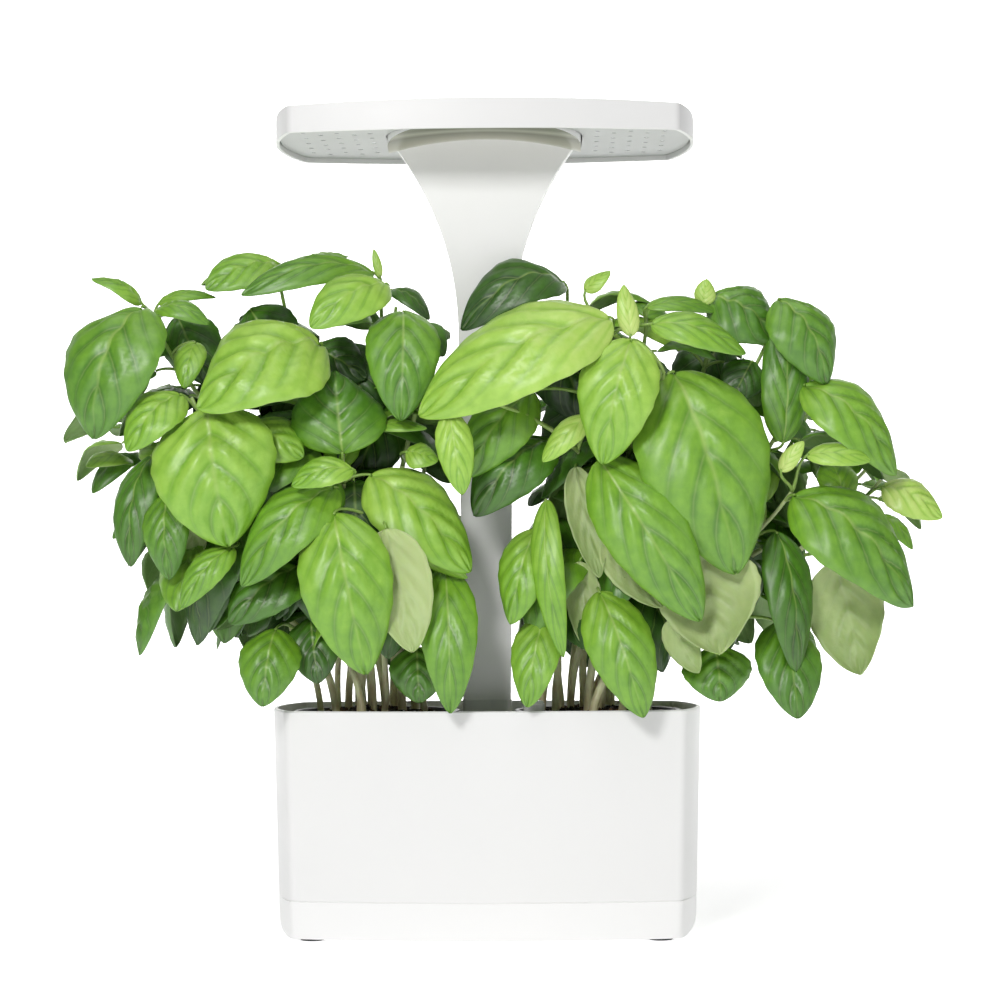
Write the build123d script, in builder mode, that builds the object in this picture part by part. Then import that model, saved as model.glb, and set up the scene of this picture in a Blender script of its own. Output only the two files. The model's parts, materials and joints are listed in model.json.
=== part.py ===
"""Self watering planter for two herb pots, with a grow lamp on a plug-in mast.

Millimetres. +X is to the right, +Y to the back, +Z up. The origin is on the table, under the middle of the planter.
From the table up: rubber feet, a water tray, a housing that stands on the tray and holds the pot shelf, two potted
herbs, a level gauge with its float, and between the pots a socket for the mast that carries the lamp.
"""

import os
from math import cos, radians, sin, sqrt

from build123d import *

# ---------------------------------------------------------------- driving sizes
# Planter housing and tray
planter_width = 270.0  # widest, half way back, at the rim
planter_depth = 140.0  # on the centre line, at the rim
rim_height = 141.0
front_bow = 12.0  # how far the front and back bulge past the corners
side_bow = 12.0  # how far the two ends bulge past the corners
corner_radius = 6.0
rim_round = 0.8
draft = 3.8  # each side leans in by this from the rim to the table
wall = 2.5
foot_stand = 1.5  # how far the feet stand out of the tray
foot_radius = 8.0
foot_recess = 1.0
foot_margin_x = 28.0  # from the widest part of the planter to the middle of a foot
foot_margin_y = 24.0
seam_height = 24.5  # top of the tray's outer band
seam_chamfer = 0.5
tray_floor = 2.5
tray_lap = 21.0  # how far the tray reaches up inside the housing
tray_bottom_round = 12.5
nest_wall = 2.0
fit_gap = 0.6  # tray inside housing
# Shelf, pots and wicks
shelf_thickness = 2.5
shelf_gap = 0.5
shelf_ledge = 3.5
ledge_thickness = 2.0
ledge_gap = 1.0  # tray's top edge to the housing's ledge
collar_gap = 2.0
collar_wall = 2.0
collar_height = 7.0
drain_radius = 2.5
fill_hole_radius = 7.0
fill_hole_y = 46.0
screw_radius = 1.25
pot_wall = 1.4
pot_side_room = 10.0  # widest part of the housing to the pot
pot_front_room = 5.0
pot_rim_drop = 2.5  # pot's rim below the planter's rim
pot_bead = 1.4
pot_taper_share = 0.74  # bottom radius over top radius
soil_drop = 4.5
soil_crown = 6.0
mat_thickness = 2.5
mat_gap = 3.0
wick_width = 18.0
wick_slot_room = 1.0
wick_end = 6.0  # height of the wick's end above the table
# Power inlet
jack_radius = 4.0
jack_bore = 2.8
jack_pin = 1.0
jack_flange = 1.5
jack_depth = 14.0
lead_radius = 2.0
# Mast and its socket
mast_width = 30.0
mast_thickness = 14.0
mast_top_gain = 2.2  # how much further out each edge is where the flare begins
mast_shell = 2.2
cover_thickness = 2.5
socket_stand = 4.5  # top of the socket above the rim
socket_wall = 2.4
socket_depth = 37.0
socket_room = 2.0  # socket to pot
flange_thickness = 3.0
contact_radius = 1.3
contact_pitch = 10.0
contact_gap = 1.0
cable_radius = 1.6
slide_gap = 0.3  # mast's tenon in its socket
flare_radius = 200.0
flare_start = 120.5  # how far under the lamp the flare begins
# Lamp
lamp_lift = 356.5  # lamp's lower edge above the rim
lamp_width = 266.0
lamp_depth = 140.0
lamp_band = 16.2  # height of the band at the ends
lamp_crown = 2.5  # how much higher the top is in the middle
lamp_end_round = 5.0
lamp_wall = 2.0
lamp_screw_radius = 1.4
head_half_width = 61.0
head_front_radius = 39.0
head_back_radius = 12.0
head_back = 32.0
head_height = 7.5
head_gap = 0.9
soffit_sag = 7.5
lip_recess = 3.0  # reflector above the lamp's lower edge
reflector_thickness = 1.5
reflector_gap = 0.8
led_radius = 1.4
led_rows = 5
led_row_pitch = 18.0
led_column_pitch = 10.5
led_stagger = 6.0
board_thickness = 1.6
spreader_thickness = 1.5
button_radius = 7.0
button_travel = 0.8
button_proud = 1.2
# Level gauge
gauge_x = 30.0
tube_radius = 6.5
tube_bore = 4.5
gauge_stand = 4.0  # tube above the rim
marker_height = 12.0
float_radius = 11.0
float_height = 11.0
float_floor_gap = 2.0
float_travel = 22.0
# Herbs
crown_gap = 4.0  # from the centre plane to the nearest leaf tips
crown_spread = 281.0  # from there to the outermost leaf tips
crown_half_depth = 112.0
crown_foot = 26.0  # lowest leaf tips above the rim
crown_free = 66.0  # highest leaf tips to the lamp
stem_count = 8
stem_radius = 1.6
leaf_slimness = 0.55  # width of a leaf over its length
leaf_thickness = 1.0

# ---------------------------------------------------------------- derived sizes
tray_bottom = foot_stand
tray_top = seam_height + tray_lap
shelf_bottom = tray_top + ledge_gap + ledge_thickness
shelf_top = shelf_bottom + shelf_thickness
pot_bottom = shelf_top + mat_thickness
pot_top = rim_height - pot_rim_drop
socket_half_x = mast_width / 2 + 0.5
socket_half_y = mast_thickness / 2 + 0.5
socket_top = rim_height + socket_stand
pot_inner_edge = socket_half_x + socket_room
pot_by_width = (planter_width / 2 - wall - pot_side_room - pot_inner_edge) / 2
pot_by_depth = planter_depth / 2 - wall - front_bow / 3 - pot_front_room
pot_top_radius = min(pot_by_width, pot_by_depth)
pot_bottom_radius = pot_top_radius * pot_taper_share
pot_x = pot_inner_edge + pot_top_radius
lamp_low = rim_height + lamp_lift
lamp_top = lamp_low + lamp_band
head_front = -(lamp_depth / 2 - lamp_wall - 9.0)
reflector_low = lamp_low + lip_recess
soffit_z = reflector_low
reflector_top = reflector_low + reflector_thickness
board_low = reflector_top + 0.9
board_top = board_low + board_thickness
flare_low = lamp_low - flare_start
gauge_y = -(planter_depth / 2 - wall - draft - fit_gap - float_radius - 5.5)
crown_low = rim_height + crown_foot
crown_height = lamp_lift - crown_foot - crown_free

os.makedirs("parts", exist_ok=True)


# ---------------------------------------------------------------- shared outlines
def bowed_outline(z, half_x, half_y, bow_front, bow_end, radius):
    """A face at height z: four shallow arcs that meet in rounded corners."""
    cx, cy = half_x - bow_end, half_y - bow_front
    with BuildSketch(Plane.XY.offset(z)) as outline:
        with BuildLine():
            ThreePointArc((-cx, -cy), (0, -half_y), (cx, -cy))
            ThreePointArc((cx, -cy), (half_x, 0), (cx, cy))
            ThreePointArc((cx, cy), (0, half_y), (-cx, cy))
            ThreePointArc((-cx, cy), (-half_x, 0), (-cx, -cy))
        make_face()
        fillet(outline.vertices(), radius)
    return outline.sketch


def lean(z):
    """How far the planter's sides have come in at height z."""
    return draft * (rim_height - z) / rim_height


def planter_section(z, inset=0.0):
    """The planter's plan at height z, or one that much further in."""
    return bowed_outline(
        z,
        planter_width / 2 - lean(z) - inset,
        planter_depth / 2 - lean(z) - inset,
        front_bow,
        side_bow,
        max(corner_radius - inset, 1.5),
    )


def planter_band(low, high, inset):
    """Two sections of the planter for a ruled loft between two heights."""
    return [planter_section(low, inset), planter_section(high, inset)]


def planter_block(low, high, inset, end_round):
    """The planter's block between two heights, with the lower edge of its two ends rounded."""
    low_x = planter_width / 2 - lean(low) - inset + 0.01
    high_x = planter_width / 2 - lean(high) - inset + 0.01
    with BuildPart() as block:
        loft(planter_band(low, high, inset), ruled=True)
        with BuildSketch(Plane.XZ.offset(planter_depth)) as front_view:
            with BuildLine():
                Polyline((-low_x, low), (low_x, low), (high_x, high), (-high_x, high), close=True)
            make_face()
            fillet(front_view.vertices().group_by(Axis.Y)[0], end_round)
        extrude(amount=-2 * planter_depth, mode=Mode.INTERSECT)
    return block.part


def lamp_section(z, inset):
    return bowed_outline(
        z, lamp_width / 2 - inset, lamp_depth / 2 - inset, front_bow, side_bow, max(corner_radius - inset, 1.5)
    )


def lamp_block(low, inset):
    """The lamp's block with its crowned top, or one that much smaller all round."""
    half, shoulder = lamp_width / 2 - inset, lamp_top - inset
    with BuildPart() as block:
        extrude(lamp_section(low, inset), amount=lamp_top + lamp_crown - low)
        with BuildSketch(Plane.XZ.offset(lamp_depth)) as front_view:
            with BuildLine():
                Polyline((-half, shoulder), (-half, low), (half, low), (half, shoulder))
                ThreePointArc((half, shoulder), (0, shoulder + lamp_crown), (-half, shoulder))
            make_face()
            fillet(front_view.vertices().group_by(Axis.Y)[-1], max(lamp_end_round - inset, 1.0))
        extrude(amount=-2 * lamp_depth, mode=Mode.INTERSECT)
    return block.part


def head_section(z, grow=0.0):
    """Plan of the mast's head inside the lamp: wide round corners in front, small ones at the back."""
    with BuildSketch(Plane.XY.offset(z)) as outline:
        with BuildLine():
            Polyline(
                (-head_half_width - grow, head_front - grow),
                (head_half_width + grow, head_front - grow),
                (head_half_width + grow, head_back + grow),
                (-head_half_width - grow, head_back + grow),
                close=True,
            )
        make_face()
        fillet(outline.vertices().group_by(Axis.Y)[0], head_front_radius + grow)
        fillet(outline.vertices().group_by(Axis.Y)[-1], head_back_radius + grow)
    return outline.sketch


# ---------------------------------------------------------------- water tray and feet
foot_spots = GridLocations(planter_width - 2 * foot_margin_x, planter_depth - 2 * foot_margin_y, 2, 2)
nest_inset = wall + fit_gap
nest_inner = nest_inset + nest_wall
floor_top = tray_bottom + tray_floor
upright = (Align.CENTER, Align.CENTER, Align.MIN)

with BuildPart() as base_tray:
    add(planter_block(tray_bottom, seam_height - seam_chamfer, 0.0, tray_bottom_round))
    seam_edge = [planter_section(seam_height - seam_chamfer), planter_section(seam_height, seam_chamfer)]
    loft(seam_edge, ruled=True)
    loft(planter_band(seam_height - 1.0, tray_top, nest_inset), ruled=True)
    add(planter_block(floor_top, tray_top + 1.0, nest_inner, 0.8 * tray_bottom_round), mode=Mode.SUBTRACT)
    with BuildSketch(Plane.XY.offset(tray_bottom)):
        with foot_spots:
            Circle(foot_radius + 0.2)
    extrude(amount=foot_recess, mode=Mode.SUBTRACT)
base_tray.part.label = "base_tray"
export_step(base_tray.part, "parts/base_tray.step")

with BuildPart() as rubber_feet:
    with foot_spots:
        Cylinder(foot_radius, foot_stand + foot_recess, align=upright)
    chamfer(rubber_feet.edges().filter_by(GeomType.CIRCLE).group_by(Axis.Z)[0], 0.6)
rubber_feet.part.label = "rubber_feet"
export_step(rubber_feet.part, "parts/rubber_feet.step")

# ---------------------------------------------------------------- housing
jack_z = shelf_top + 12.0
jack_back = planter_depth / 2 - lean(jack_z)
jack_inside = jack_back - wall

with BuildPart() as outer_shell:
    seam_edge = [planter_section(seam_height, seam_chamfer), planter_section(seam_height + seam_chamfer)]
    loft(seam_edge, ruled=True)
    loft(planter_band(seam_height + seam_chamfer, rim_height - rim_round, 0.0), ruled=True)
    rim_edge = [planter_section(rim_height - rim_round), planter_section(rim_height, 0.6 * rim_round)]
    loft(rim_edge, ruled=True)
    loft(planter_band(seam_height - 1.0, tray_top + ledge_gap, wall), ruled=True, mode=Mode.SUBTRACT)
    loft(planter_band(tray_top, shelf_top, wall + shelf_ledge), ruled=True, mode=Mode.SUBTRACT)
    loft(planter_band(shelf_bottom, rim_height + 1.0, wall), ruled=True, mode=Mode.SUBTRACT)
    with BuildSketch(Plane.XZ.offset(-jack_inside + 2.0)):
        with Locations((0, jack_z)):
            Circle(jack_radius + 0.1)
    extrude(amount=-wall - 4.0, mode=Mode.SUBTRACT)
outer_shell.part.label = "outer_shell"
export_step(outer_shell.part, "parts/outer_shell.step")

pot_spots = Locations((-pot_x, 0), (pot_x, 0))
socket_screw_spots = Locations((-socket_half_x - 5.0, 0), (socket_half_x + 5.0, 0))
gauge_spot = Locations((gauge_x, gauge_y))

with BuildPart() as pot_shelf:
    loft(planter_band(shelf_bottom, shelf_top, wall + shelf_gap), ruled=True)
    with BuildSketch(Plane.XY.offset(shelf_top)):
        with pot_spots:
            Circle(pot_bottom_radius + collar_gap + collar_wall)
            Circle(pot_bottom_radius + collar_gap, mode=Mode.SUBTRACT)
    extrude(amount=collar_height)
    with BuildSketch(Plane.XY.offset(shelf_bottom)):
        with pot_spots:
            Rectangle(wick_width + wick_slot_room, mat_thickness + wick_slot_room)
            with PolarLocations(0.6 * pot_bottom_radius, 8, start_angle=22.5):
                Circle(drain_radius)
        with gauge_spot:
            Circle(tube_bore + 0.5)
        with socket_screw_spots:
            Circle(screw_radius)
        with GridLocations(48.0, 0.0, 2, 1):
            with Locations((0, fill_hole_y)):
                Circle(fill_hole_radius)
    extrude(amount=shelf_thickness, mode=Mode.SUBTRACT)
pot_shelf.part.label = "pot_shelf"
export_step(pot_shelf.part, "parts/pot_shelf.step")

# Felt mats under the pots, each with a tongue that hangs in the water.
for side, word in ((-1, "left"), (1, "right")):
    with BuildPart() as wick_mat:
        with BuildSketch(Plane.XY.offset(shelf_top)):
            with Locations((side * pot_x, 0)):
                Circle(pot_bottom_radius - mat_gap)
        extrude(amount=mat_thickness)
        with BuildSketch(Plane.XY.offset(wick_end)):
            with Locations((side * pot_x, 0)):
                Rectangle(wick_width, mat_thickness)
        extrude(amount=shelf_top + 1.0 - wick_end)
    wick_mat.part.label = f"{word}_wick_mat"
    export_step(wick_mat.part, f"parts/{word}_wick_mat.step")

# ---------------------------------------------------------------- mast socket, contacts, power inlet
pocket_floor = socket_top - socket_depth
pocket_half_x = socket_half_x - socket_wall
pocket_half_y = socket_half_y - socket_wall
contact_spots = Locations((-contact_pitch / 2, 0), (contact_pitch / 2, 0))
lead_channel_top = pocket_floor - 3.0


def mast_section(z, half_x, half_y, radius):
    with BuildSketch(Plane.XY.offset(z)) as section:
        RectangleRounded(2 * half_x, 2 * half_y, radius)
    return section.sketch


with BuildPart() as mast_socket:
    extrude(mast_section(shelf_top, socket_half_x, socket_half_y, 3.0), amount=socket_top - shelf_top)
    chamfer(mast_socket.faces().sort_by(Axis.Z)[-1].outer_wire().edges(), 0.4)
    extrude(mast_section(shelf_top, socket_half_x + 9.0, socket_half_y + 1.5, 4.0), amount=flange_thickness)
    pocket = mast_section(pocket_floor, pocket_half_x, pocket_half_y, 2.0)
    extrude(pocket, amount=socket_depth + 1.0, mode=Mode.SUBTRACT)
    lead_channel = mast_section(shelf_top, 9.0, 4.0, 1.0)
    extrude(lead_channel, amount=lead_channel_top - shelf_top, mode=Mode.SUBTRACT)
    with BuildSketch(Plane.XY.offset(shelf_top)):
        with socket_screw_spots:
            Circle(screw_radius + 0.4)
    extrude(amount=flange_thickness, mode=Mode.SUBTRACT)
    with BuildSketch(Plane.XZ):
        with Locations((0, jack_z)):
            Circle(lead_radius + 0.3)
    extrude(amount=-socket_half_y - 2.0, mode=Mode.SUBTRACT)
    with BuildSketch(Plane.XY.offset(lead_channel_top)):
        with contact_spots:
            Circle(contact_radius)
    extrude(amount=3.0, mode=Mode.SUBTRACT)
mast_socket.part.label = "mast_socket"
export_step(mast_socket.part, "parts/mast_socket.step")

with BuildPart() as socket_screws:
    head_bottom = shelf_top + flange_thickness
    with BuildSketch(Plane.XY.offset(shelf_bottom - 4.0)):
        with socket_screw_spots:
            Circle(screw_radius)
    extrude(amount=head_bottom - shelf_bottom + 4.0)
    with BuildSketch(Plane.XY.offset(head_bottom)):
        with socket_screw_spots:
            Circle(2.6)
    extrude(amount=1.8)
    with BuildSketch(Plane.XY.offset(head_bottom + 0.9)):
        with socket_screw_spots:
            Rectangle(3.4, 0.7)
            Rectangle(0.7, 3.4)
    extrude(amount=1.0, mode=Mode.SUBTRACT)
socket_screws.part.label = "socket_screws"
export_step(socket_screws.part, "parts/socket_screws.step")

with BuildPart() as socket_contacts:
    with BuildSketch(Plane.XY.offset(lead_channel_top - 2.0)):
        with contact_spots:
            Circle(contact_radius)
    extrude(amount=5.0 + contact_gap - 0.3)
socket_contacts.part.label = "socket_contacts"
export_step(socket_contacts.part, "parts/socket_contacts.step")

with BuildPart() as power_jack:
    with BuildSketch(Plane.XZ.offset(-jack_back - jack_flange)):
        with Locations((0, jack_z)):
            Circle(jack_radius + 2.2)
    extrude(amount=jack_flange - 0.25)
    with BuildSketch(Plane.XZ.offset(-jack_back - 1.0)):
        with Locations((0, jack_z)):
            Circle(jack_radius)
    extrude(amount=jack_depth)
    with BuildSketch(Plane.XZ.offset(-jack_back - jack_flange)):
        with Locations((0, jack_z)):
            Circle(jack_bore)
            Circle(jack_pin, mode=Mode.SUBTRACT)
    extrude(amount=jack_depth - 3.0, mode=Mode.SUBTRACT)
    with BuildSketch(Plane.XZ.offset(-jack_back - jack_flange)):
        with Locations((0, jack_z)):
            Circle(jack_pin)
    extrude(amount=2.5, mode=Mode.SUBTRACT)
power_jack.part.label = "power_jack"
export_step(power_jack.part, "parts/power_jack.step")

with BuildPart() as jack_nut:
    with BuildSketch(Plane.XZ.offset(-jack_inside + 0.5)):
        with Locations((0, jack_z)):
            RegularPolygon(jack_radius + 3.0, 6)
            Circle(jack_radius + 0.05, mode=Mode.SUBTRACT)
    extrude(amount=2.0)
jack_nut.part.label = "jack_nut"
export_step(jack_nut.part, "parts/jack_nut.step")

lead_start = jack_back + 1.0 - jack_depth
with BuildPart() as power_lead:
    with BuildLine() as lead_line:
        FilletPolyline(
            (0, lead_start, jack_z),
            (0, lead_start * 0.8, jack_z),
            (8.0, lead_start * 0.55, jack_z),
            (0, lead_start * 0.3, jack_z),
            (0, 0, jack_z),
            (0, 0, lead_channel_top - 3.0),
            radius=3.0,
        )
    with BuildSketch(Plane(origin=lead_line.line @ 0, z_dir=lead_line.line % 0)):
        Circle(lead_radius)
    sweep()
power_lead.part.label = "power_lead"
export_step(power_lead.part, "parts/power_lead.step")

# ---------------------------------------------------------------- level gauge
tube_top = rim_height + gauge_stand
float_low = floor_top + float_floor_gap
marker_top = tube_top - float_travel - 1.5
marker_low = marker_top - marker_height

with BuildPart() as gauge_tube:
    with BuildSketch(Plane.XY.offset(shelf_top)):
        with gauge_spot:
            Circle(tube_radius)
    extrude(amount=tube_top - shelf_top)
    fillet(gauge_tube.faces().sort_by(Axis.Z)[-1].edges(), 0.5)
    with BuildSketch(Plane.XY.offset(shelf_top)):
        with gauge_spot:
            Circle(tube_radius + 2.5)
    extrude(amount=2.0)
    with BuildSketch(Plane.XY.offset(shelf_top)):
        with gauge_spot:
            Circle(tube_bore)
    extrude(amount=tube_top, mode=Mode.SUBTRACT)
gauge_tube.part.label = "gauge_tube"
export_step(gauge_tube.part, "parts/gauge_tube.step")

with BuildPart() as gauge_window:
    with BuildSketch(Plane.XY.offset(tube_top)):
        with gauge_spot:
            Circle(tube_radius - 0.6)
    extrude(amount=1.5)
    fillet(gauge_window.faces().sort_by(Axis.Z)[-1].edges(), 1.2)
gauge_window.part.label = "gauge_window"
export_step(gauge_window.part, "parts/gauge_window.step")

with BuildPart() as level_float:
    with BuildSketch(Plane.XY.offset(float_low)):
        with gauge_spot:
            Circle(float_radius)
    extrude(amount=float_height)
    fillet(level_float.edges().filter_by(GeomType.CIRCLE), 2.0)
level_float.part.label = "level_float"
export_step(level_float.part, "parts/level_float.step")

with BuildPart() as float_stem:
    with BuildSketch(Plane.XY.offset(float_low + float_height)):
        with gauge_spot:
            Circle(1.5)
    extrude(amount=marker_low - float_low - float_height)
float_stem.part.label = "float_stem"
export_step(float_stem.part, "parts/float_stem.step")

with BuildPart() as level_marker:
    with BuildSketch(Plane.XY.offset(marker_low)):
        with gauge_spot:
            Circle(tube_bore - 0.6)
    extrude(amount=marker_height)
    fillet(level_marker.faces().sort_by(Axis.Z)[-1].edges(), 1.0)
level_marker.part.label = "level_marker"
export_step(level_marker.part, "parts/level_marker.step")

# ---------------------------------------------------------------- mast
cover_face = mast_thickness / 2 - cover_thickness
cover_top = lamp_low - 4.0
head_top = reflector_low + head_height
vault_half = head_half_width + 8.0
vault_foot = soffit_z - 1.4 * soffit_sag


def mast_half_width(z):
    """Half the mast's width: nearly straight up to the flare, then a circular arc outward."""
    if z <= flare_low:
        return mast_width / 2 + mast_top_gain * (z - socket_top) / (flare_low - socket_top)
    return mast_width / 2 + mast_top_gain + flare_radius * (1 - sqrt(1 - ((z - flare_low) / flare_radius) ** 2))


def mast_face(y, low, high, inset=0.0):
    """The mast's front view between two heights, as a face at depth y."""
    foot, neck, middle, end = [
        (mast_half_width(z) - inset, z) for z in (low, flare_low, (flare_low + high) / 2, high)
    ]
    with BuildSketch(Plane.XZ.offset(-y)) as face:
        with BuildLine():
            Line((0, low), foot)
            Line(foot, neck)
            ThreePointArc(neck, middle, end)
            Line(end, (0, high))
            mirror(about=Plane.YZ)
        make_face()
    return face.sketch


def under_vault(y, foot, crest):
    """What is cut away under a shallow vault, as a face at depth y."""
    with BuildSketch(Plane.XZ.offset(-y)) as face:
        with BuildLine():
            Polyline((vault_half, foot), (vault_half, foot - 60.0), (-vault_half, foot - 60.0), (-vault_half, foot))
            ThreePointArc((-vault_half, foot), (0, crest), (vault_half, foot))
        make_face()
    return face.sketch


cover_screw_spots = Locations(
    (0, socket_top + 22.0),
    (0, (socket_top + flare_low) / 2),
    (-9.0, flare_low + 30.0),
    (9.0, flare_low + 30.0),
    (-30.0, lamp_low - 16.0),
    (30.0, lamp_low - 16.0),
)
lamp_screw_spots = Locations((-42.0, 20.0), (42.0, 20.0))

with BuildPart() as mast_front_shell:
    extrude(head_section(vault_foot - 5.0), amount=head_top - vault_foot + 5.0)
    vault = [under_vault(-mast_thickness / 2, vault_foot, soffit_z + 0.5)]
    vault.append(under_vault(head_front - 8.0, soffit_z, soffit_z + 1.5))
    loft(vault, ruled=True, mode=Mode.SUBTRACT)
    with BuildSketch(Plane.XY.offset(soffit_z)):
        with Locations((0, -mast_thickness / 2)):
            Rectangle(4 * head_half_width, 2 * lamp_depth, align=(Align.CENTER, Align.MIN))
    extrude(amount=-60.0, mode=Mode.SUBTRACT)
    extrude(mast_face(mast_thickness / 2, socket_top, soffit_z), amount=mast_thickness)
    # Hollow head, open at the top.
    extrude(head_section(soffit_z + mast_shell, -mast_shell), amount=head_height, mode=Mode.SUBTRACT)
    # Channel for the cable, open at the back, with a seat for the cover.
    channel = mast_face(cover_face, socket_top + 4.0, cover_top - 6.0, mast_shell + 1.5)
    extrude(channel, amount=mast_thickness - mast_shell - cover_thickness, mode=Mode.SUBTRACT)
    seat = mast_face(mast_thickness / 2, socket_top + 2.0, cover_top, mast_shell)
    extrude(seat, amount=cover_thickness, mode=Mode.SUBTRACT)
    extrude(mast_section(cover_top - 30.0, 6.0, 3.0, 1.0), amount=50.0, mode=Mode.SUBTRACT)
    extrude(mast_section(socket_top, 6.0, 2.5, 1.0), amount=6.0, mode=Mode.SUBTRACT)
    with BuildSketch(Plane.XZ.offset(-cover_face)):
        with cover_screw_spots:
            Circle(3.0)
            Circle(0.98, mode=Mode.SUBTRACT)
    extrude(amount=mast_thickness - cover_thickness - 1.0)
    with BuildSketch(Plane.XY.offset(soffit_z + 1.0)):
        with lamp_screw_spots:
            Circle(4.5)
    extrude(amount=head_top - soffit_z - 1.0)
    with BuildSketch(Plane.XY.offset(soffit_z)):
        with lamp_screw_spots:
            Circle(lamp_screw_radius + 0.2)
    extrude(amount=head_height, mode=Mode.SUBTRACT)
    with BuildSketch(Plane.XY.offset(soffit_z)):
        with lamp_screw_spots:
            Circle(3.1)
    extrude(amount=2.0, mode=Mode.SUBTRACT)
mast_front_shell.part.label = "mast_front_shell"
export_step(mast_front_shell.part, "parts/mast_front_shell.step")

with BuildPart() as mast_rear_cover:
    extrude(
        mast_face(mast_thickness / 2, socket_top + 2.2, cover_top - 0.2, mast_shell + 0.2), amount=cover_thickness
    )
    with BuildSketch(Plane.XZ.offset(-mast_thickness / 2)):
        with cover_screw_spots:
            Circle(1.3)
    extrude(amount=cover_thickness, mode=Mode.SUBTRACT)
    with BuildSketch(Plane.XZ.offset(-mast_thickness / 2)):
        with cover_screw_spots:
            Circle(2.4)
    extrude(amount=1.2, mode=Mode.SUBTRACT)
mast_rear_cover.part.label = "mast_rear_cover"
export_step(mast_rear_cover.part, "parts/mast_rear_cover.step")

with BuildPart() as cover_screws:
    with BuildSketch(Plane.XZ.offset(-mast_thickness / 2 + 0.1)):
        with cover_screw_spots:
            Circle(2.2)
    extrude(amount=1.1)
    with BuildSketch(Plane.XZ.offset(-mast_thickness / 2 + 0.1)):
        with cover_screw_spots:
            Rectangle(2.6, 0.6)
            Rectangle(0.6, 2.6)
    extrude(amount=0.7, mode=Mode.SUBTRACT)
    with BuildSketch(Plane.XZ.offset(-mast_thickness / 2 + 1.2)):
        with cover_screw_spots:
            Circle(0.95)
    extrude(amount=7.0)
cover_screws.part.label = "mast_cover_screws"
export_step(cover_screws.part, "parts/mast_cover_screws.step")

plug_bottom = pocket_floor + contact_gap
with BuildPart() as mast_plug:
    tenon = mast_section(plug_bottom, pocket_half_x - slide_gap, pocket_half_y - slide_gap, 2.0 - slide_gap)
    extrude(tenon, amount=socket_top - plug_bottom)
    chamfer(mast_plug.faces().sort_by(Axis.Z)[0].outer_wire().edges(), 0.8)
    extrude(mast_section(plug_bottom + 4.0, 8.0, 2.5, 1.0), amount=socket_depth, mode=Mode.SUBTRACT)
    with BuildSketch(Plane.XY.offset(plug_bottom)):
        with contact_spots:
            Circle(1.8)
    extrude(amount=4.0, mode=Mode.SUBTRACT)
mast_plug.part.label = "mast_plug"
export_step(mast_plug.part, "parts/mast_plug.step")

with BuildPart() as plug_contacts:
    with BuildSketch(Plane.XY.offset(plug_bottom)):
        with contact_spots:
            Circle(1.75)
    extrude(amount=5.0)
plug_contacts.part.label = "plug_contacts"
export_step(plug_contacts.part, "parts/plug_contacts.step")

with BuildPart() as mast_cable:
    with BuildLine() as cable_line:
        FilletPolyline(
            (0, 0, plug_bottom + 6.0),
            (0, 0, socket_top + 2.0),
            (7.0, 0, socket_top + 16.0),
            (7.0, 0, flare_low - 30.0),
            (0, 0, flare_low + 40.0),
            (0, 0, head_top - 1.0),
            radius=9.0,
        )
    with BuildSketch(Plane(origin=cable_line.line @ 0, z_dir=cable_line.line % 0)):
        Circle(cable_radius)
    sweep()
mast_cable.part.label = "mast_cable"
export_step(mast_cable.part, "parts/mast_cable.step")

# ---------------------------------------------------------------- lamp
crown_top = lamp_top + lamp_crown
lamp_ceiling = crown_top - lamp_wall
button_y = lamp_depth / 2 - 24.0
button_spot = Locations((0, button_y))

with BuildPart() as lamp_shell:
    add(lamp_block(lamp_low, 0.0))
    add(lamp_block(lamp_low - 1.0, lamp_wall), mode=Mode.SUBTRACT)
    with BuildSketch(Plane.XY.offset(head_top)):
        with lamp_screw_spots:
            Circle(3.5)
    extrude(amount=lamp_top + 1.0 - head_top)
    with BuildSketch(Plane.XY.offset(head_top)):
        with lamp_screw_spots:
            Circle(lamp_screw_radius)
    extrude(amount=4.0, mode=Mode.SUBTRACT)
    with BuildSketch(Plane.XY.offset(lamp_ceiling - 1.0)):
        with button_spot:
            Circle(button_radius + 0.3)
    extrude(amount=lamp_band, mode=Mode.SUBTRACT)
lamp_shell.part.label = "lamp_shell"
export_step(lamp_shell.part, "parts/lamp_shell.step")

with BuildPart() as lamp_screws:
    with BuildSketch(Plane.XY.offset(soffit_z + 0.4)):
        with lamp_screw_spots:
            Circle(2.8)
    extrude(amount=1.6)
    with BuildSketch(Plane.XY.offset(soffit_z + 0.4)):
        with lamp_screw_spots:
            Rectangle(3.4, 0.7)
            Rectangle(0.7, 3.4)
    extrude(amount=0.8, mode=Mode.SUBTRACT)
    with BuildSketch(Plane.XY.offset(soffit_z + 2.0)):
        with lamp_screw_spots:
            Circle(lamp_screw_radius)
    extrude(amount=head_top + 3.8 - soffit_z - 2.0)
lamp_screws.part.label = "lamp_screws"
export_step(lamp_screws.part, "parts/lamp_screws.step")

led_first = head_half_width + 10.0
led_last = lamp_width / 2 - side_bow - 4.0
led_spots = [
    (led_first + column * led_column_pitch, (row - (led_rows - 1) / 2) * led_row_pitch + (column % 2) * led_stagger)
    for row in range(led_rows)
    for column in range(int((led_last - led_first) / led_column_pitch) + 1)
]

with BuildPart() as lamp_reflector:
    extrude(lamp_section(reflector_low, lamp_wall + reflector_gap), amount=reflector_thickness)
    extrude(head_section(reflector_low, head_gap), amount=reflector_thickness, mode=Mode.SUBTRACT)
    with BuildSketch(Plane.XY.offset(reflector_low)):
        with Locations([(side * x, y) for x, y in led_spots for side in (-1, 1)]):
            Circle(led_radius + 0.3)
    extrude(amount=reflector_thickness, mode=Mode.SUBTRACT)
lamp_reflector.part.label = "lamp_reflector"
export_step(lamp_reflector.part, "parts/lamp_reflector.step")

wing_start = head_half_width + head_gap + 1.0


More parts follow.
